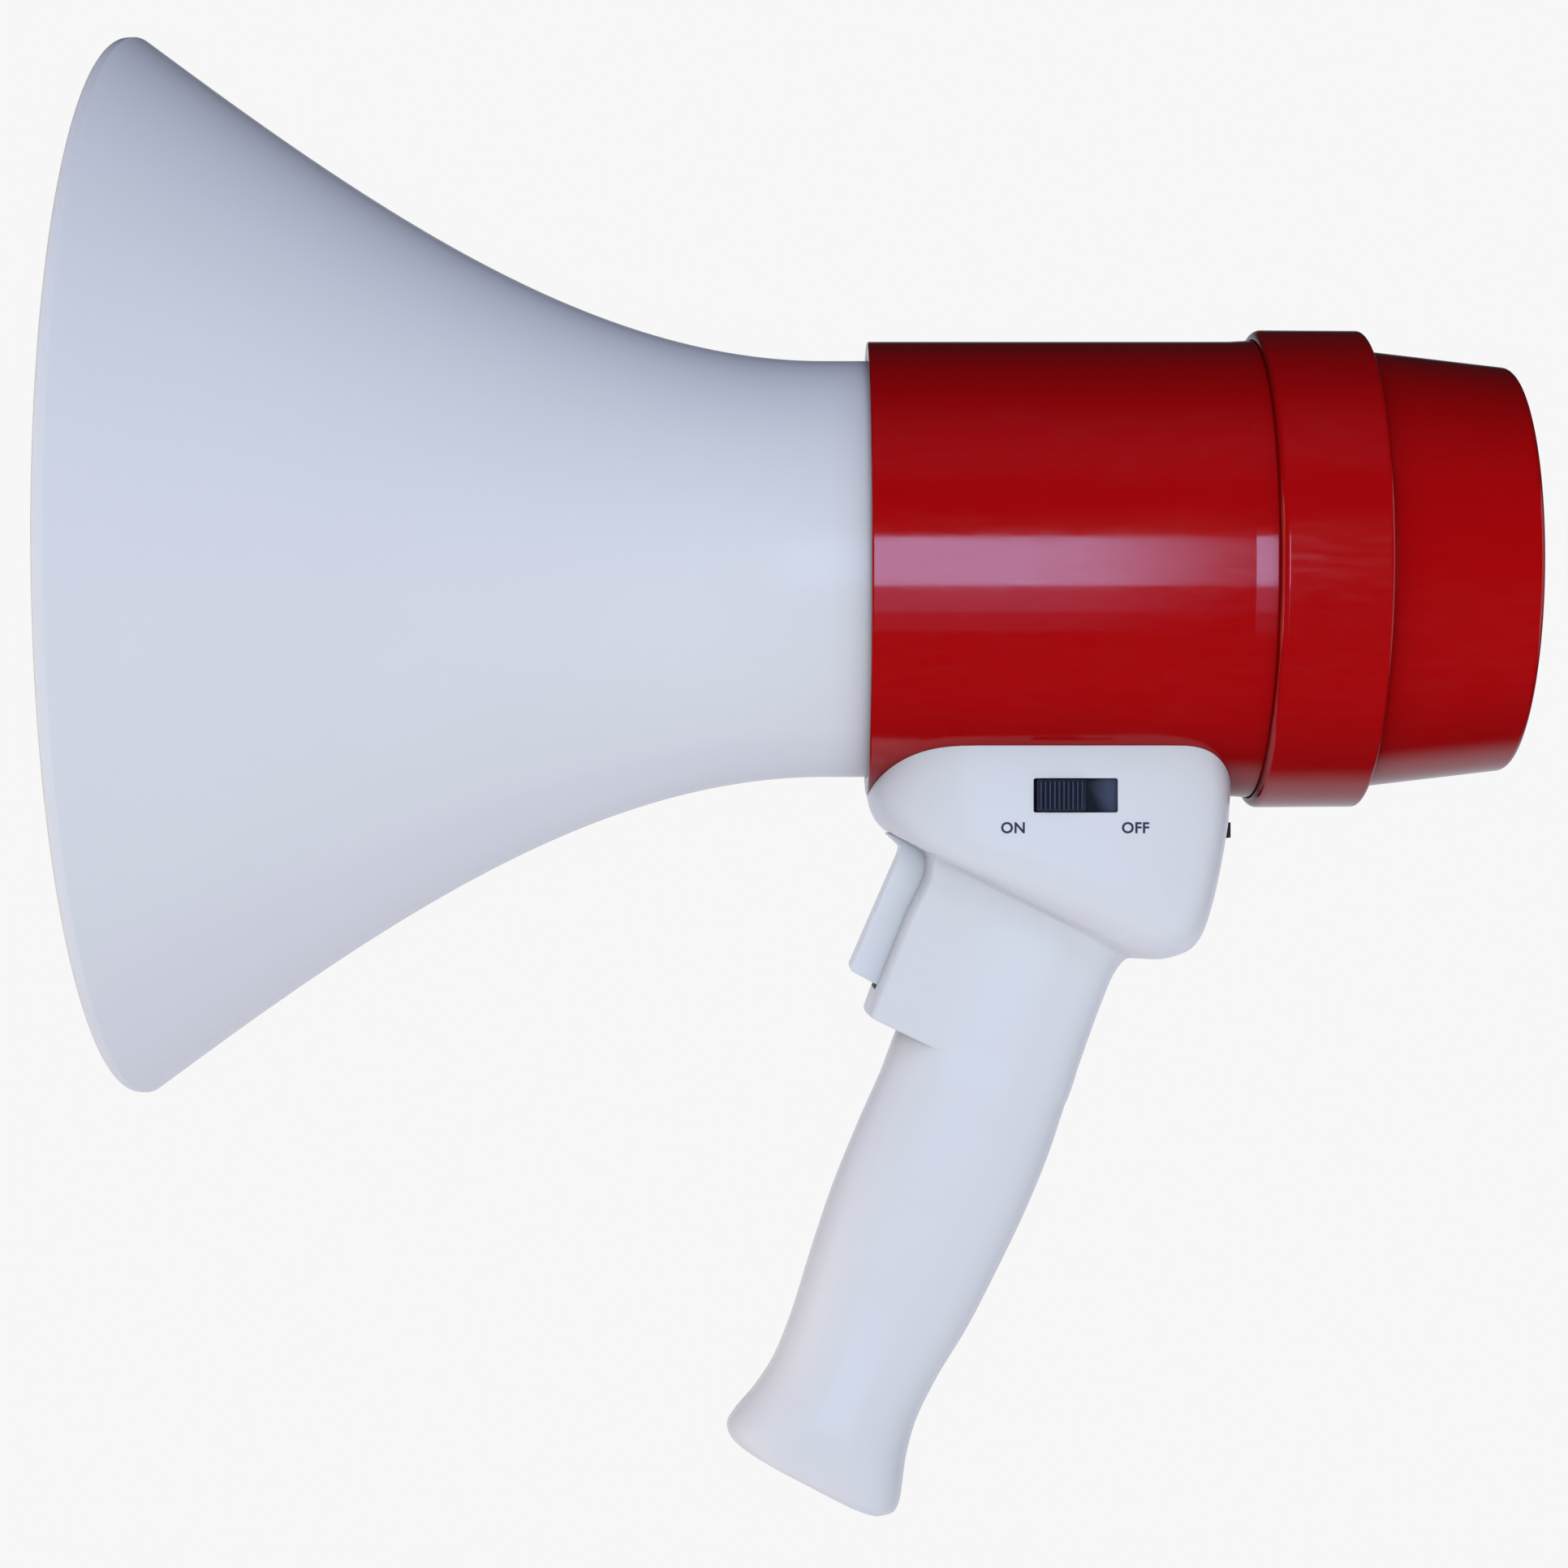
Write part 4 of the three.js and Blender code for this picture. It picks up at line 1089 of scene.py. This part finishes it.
KEPT = {
    "throat_horn": white,
    "driver_frame": aluminium,
    "diaphragm": film,
    "top_plate": steel,
    "magnet": ferrite,
    "back_plate": steel,
    "seal_ring": rubber,
    "mic_foam": foam,
    "mic_capsule": steel,
    "mic_board": board,
    "saddle_screw_1": steel,
    "saddle_screw_2": steel,
    "trigger_pin": steel,
    "trigger_spring": steel,
    "ptt_switch_body": black,
    "ptt_plunger": navy,
    "power_switch_body": navy,
    "volume_pot": steel,
    "amplifier_board": board,
    "heat_sink": aluminium,
    "capacitor_1": black,
    "capacitor_2": black,
}
KEPT.update({f"{kind}_screw_{i}": steel for kind in ("baffle", "driver") for i in (1, 2, 3)})
for node, material in KEPT.items():
    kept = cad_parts[node]
    kept.data.materials.clear()
    kept.data.materials.append(material)

# ---------------------------------------------------------------- studio

STUDIO_CENTRE = at(150, 0, -20)  # what the softboxes are aimed at
BACKDROP = 0.93  # what the camera sees behind the model and below it
FLOOR_DROP = 1.1  # metres from the grip's foot down to the floor
FLOOR_CAST = (0.7, 0.685, 0.755)
BACKDROP_DIRECTION = (0, 0.92, -0.39)
REAR_CAST = (0.6, 0.62, 0.68)  # light from the backdrop, beyond the model
DIM_CAST = (0.012, 0.013, 0.016)  # light from the darker side of the studio

# Softboxes, of which glossy surfaces mirror only those at the sides.
# Each has its azimuth and elevation in degrees from the studio's centre, its distance, width and
# height in metres, and its radiance for each of red, green and blue.
# Azimuth 0 is the switch side, positive towards the mouthpiece.
SOFTBOXES = {
    "front": (0, 5, 1.8, 1.0, 1.0, (3.74, 3.62, 2.8)),
    "side_left": (-85, 0, 1.6, 1.0, 1.3, (2.27, 1.73, 1.27)),
    "side_right": (85, 0, 1.6, 1.0, 1.3, (0.91, 0.93, 1.03)),
    "top": (0, 62, 1.5, 1.2, 1.0, (1.24, 1.35, 2.0)),
    "rear_left": (-145, 5, 1.6, 1.2, 1.2, (1.5, 1.55, 1.7)),
    "rear_right": (150, 5, 1.6, 1.2, 1.2, (1.1, 1.15, 1.3)),
}

# The light strip that glossy surfaces mirror, in millimetres: stretches along X with their shares
# of its radiance, and bands in Z with theirs.
STRIP_Y = -1800
STRIP_RADIANCE = (3.4, 5.2, 9.0)
STRIP_STRETCHES = [
    (111, 339, 1.0),
    (339, 362, 0.93),
    (362, 386, 0.8),
    (386, 405, 0.64),
    (405, 424, 0.46),
    (424, 442, 0.3),
    (442, 474, 0.17),
]
STRIP_BANDS = [(-355, 395, 1.0), (-800, -355, 0.14), (-1200, -800, 0.04)]


def glow(name, seen_strength, cast):
    """A glowing surface which shows one brightness to the camera and casts another on the model."""
    material = bpy.data.materials.new(name)
    material.use_nodes = True
    nodes, links = material.node_tree.nodes, material.node_tree.links
    nodes.clear()
    seen, lit = nodes.new("ShaderNodeEmission"), nodes.new("ShaderNodeEmission")
    seen.inputs["Strength"].default_value = seen_strength
    lit.inputs["Color"].default_value = (*cast, 1)
    rays, mix = nodes.new("ShaderNodeLightPath"), nodes.new("ShaderNodeMixShader")
    links.new(rays.outputs["Is Camera Ray"], mix.inputs[0])
    links.new(lit.outputs[0], mix.inputs[1])
    links.new(seen.outputs[0], mix.inputs[2])
    links.new(mix.outputs[0], nodes.new("ShaderNodeOutputMaterial").inputs[0])
    return material


def make_floor():
    """A round floor, far below the part, that casts the studio's light back up."""
    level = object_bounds()[0][2] - FLOOR_DROP
    count, radius = 96, 8.0
    ring = [
        (radius * math.cos(2 * math.pi * i / count), radius * math.sin(2 * math.pi * i / count), level)
        for i in range(count)
    ]
    floor = make_object("studio_floor", ring, [list(range(count))])
    floor.data.materials.append(glow("studio_floor", BACKDROP, FLOOR_CAST))
    floor.visible_glossy = False


def make_world():
    """The backdrop, bright beyond the model and dim on the camera's side."""
    world = bpy.data.worlds.new("studio")
    bpy.context.scene.world = world
    world.use_nodes = True
    nodes, links = world.node_tree.nodes, world.node_tree.links
    seen, lit = nodes["Background"], nodes.new("ShaderNodeBackground")
    seen.inputs["Color"].default_value = (1, 1, 1, 1)
    seen.inputs["Strength"].default_value = BACKDROP
    towards_backdrop = nodes.new("ShaderNodeVectorMath")
    towards_backdrop.operation = "DOT_PRODUCT"
    towards_backdrop.inputs[1].default_value = BACKDROP_DIRECTION
    links.new(nodes.new("ShaderNodeTexCoord").outputs["Generated"], towards_backdrop.inputs[0])
    share = nodes.new("ShaderNodeMapRange")
    share.interpolation_type = "SMOOTHSTEP"
    share.inputs["From Min"].default_value = 0.7
    share.inputs["From Max"].default_value = 0.9
    links.new(towards_backdrop.outputs["Value"], share.inputs["Value"])
    tint = nodes.new("ShaderNodeMix")
    tint.data_type = "RGBA"
    links.new(share.outputs["Result"], tint.inputs[0])
    tint.inputs[6].default_value = (*DIM_CAST, 1)
    tint.inputs[7].default_value = (*REAR_CAST, 1)
    links.new(tint.outputs[2], lit.inputs["Color"])
    rays, mix = nodes.new("ShaderNodeLightPath"), nodes.new("ShaderNodeMixShader")
    links.new(rays.outputs["Is Camera Ray"], mix.inputs[0])
    links.new(lit.outputs[0], mix.inputs[1])
    links.new(seen.outputs[0], mix.inputs[2])
    links.new(mix.outputs[0], nodes["World Output"].inputs["Surface"])


def make_light(name, location, away, width, height, radiance, mirrored):
    """A rectangular light that shines against the direction away, and the camera doesn't see."""
    light = bpy.data.lights.new(name, "AREA")
    light.shape = "RECTANGLE"
    light.size, light.size_y = width, height
    brightest = max(radiance)
    light.energy = brightest * math.pi * width * height
    light.color = [value / brightest for value in radiance]
    obj = bpy.data.objects.new(name, light)
    bpy.context.scene.collection.objects.link(obj)
    obj.location = location
    obj.rotation_mode = "QUATERNION"
    obj.rotation_quaternion = (-away).to_track_quat("-Z", "Y")
    obj.visible_camera = False
    obj.visible_glossy = mirrored


def make_softboxes():
    for name, (azimuth, elevation, distance, width, height, radiance) in SOFTBOXES.items():
        a, e = math.radians(azimuth), math.radians(elevation)
        away = Vector((math.sin(a) * math.cos(e), -math.cos(a) * math.cos(e), math.sin(e)))
        place = STUDIO_CENTRE + away * distance
        make_light(name, place, away, width, height, radiance, name.startswith("side"))


def make_strip():
    away = Vector((0, -1, 0))
    for x0, x1, share in STRIP_STRETCHES:
        for z0, z1, band_share in STRIP_BANDS:
            place = at((x0 + x1) / 2, STRIP_Y, (z0 + z1) / 2)
            radiance = [value * share * band_share for value in STRIP_RADIANCE]
            make_light("strip", place, away, (x1 - x0) * MM, (z1 - z0) * MM, radiance, True)


CAMERA_PLACE = (141.35, -750.92, -47.34)
CAMERA_LENS = 78


def make_camera():
    """The camera, level and looking straight across the horn's axis."""
    data = bpy.data.cameras.new("camera")
    data.sensor_width = 36
    data.lens = CAMERA_LENS
    data.clip_start, data.clip_end = 0.01, 50
    camera = bpy.data.objects.new("camera", data)
    bpy.context.scene.collection.objects.link(camera)
    camera.location = at(*CAMERA_PLACE)
    camera.rotation_euler = (math.pi / 2, 0, 0)
    bpy.context.scene.camera = camera


make_floor()
make_world()
make_camera()
make_softboxes()
make_strip()

bpy.context.scene.view_settings.view_transform = "Standard"
bpy.context.scene.view_settings.look = "None"
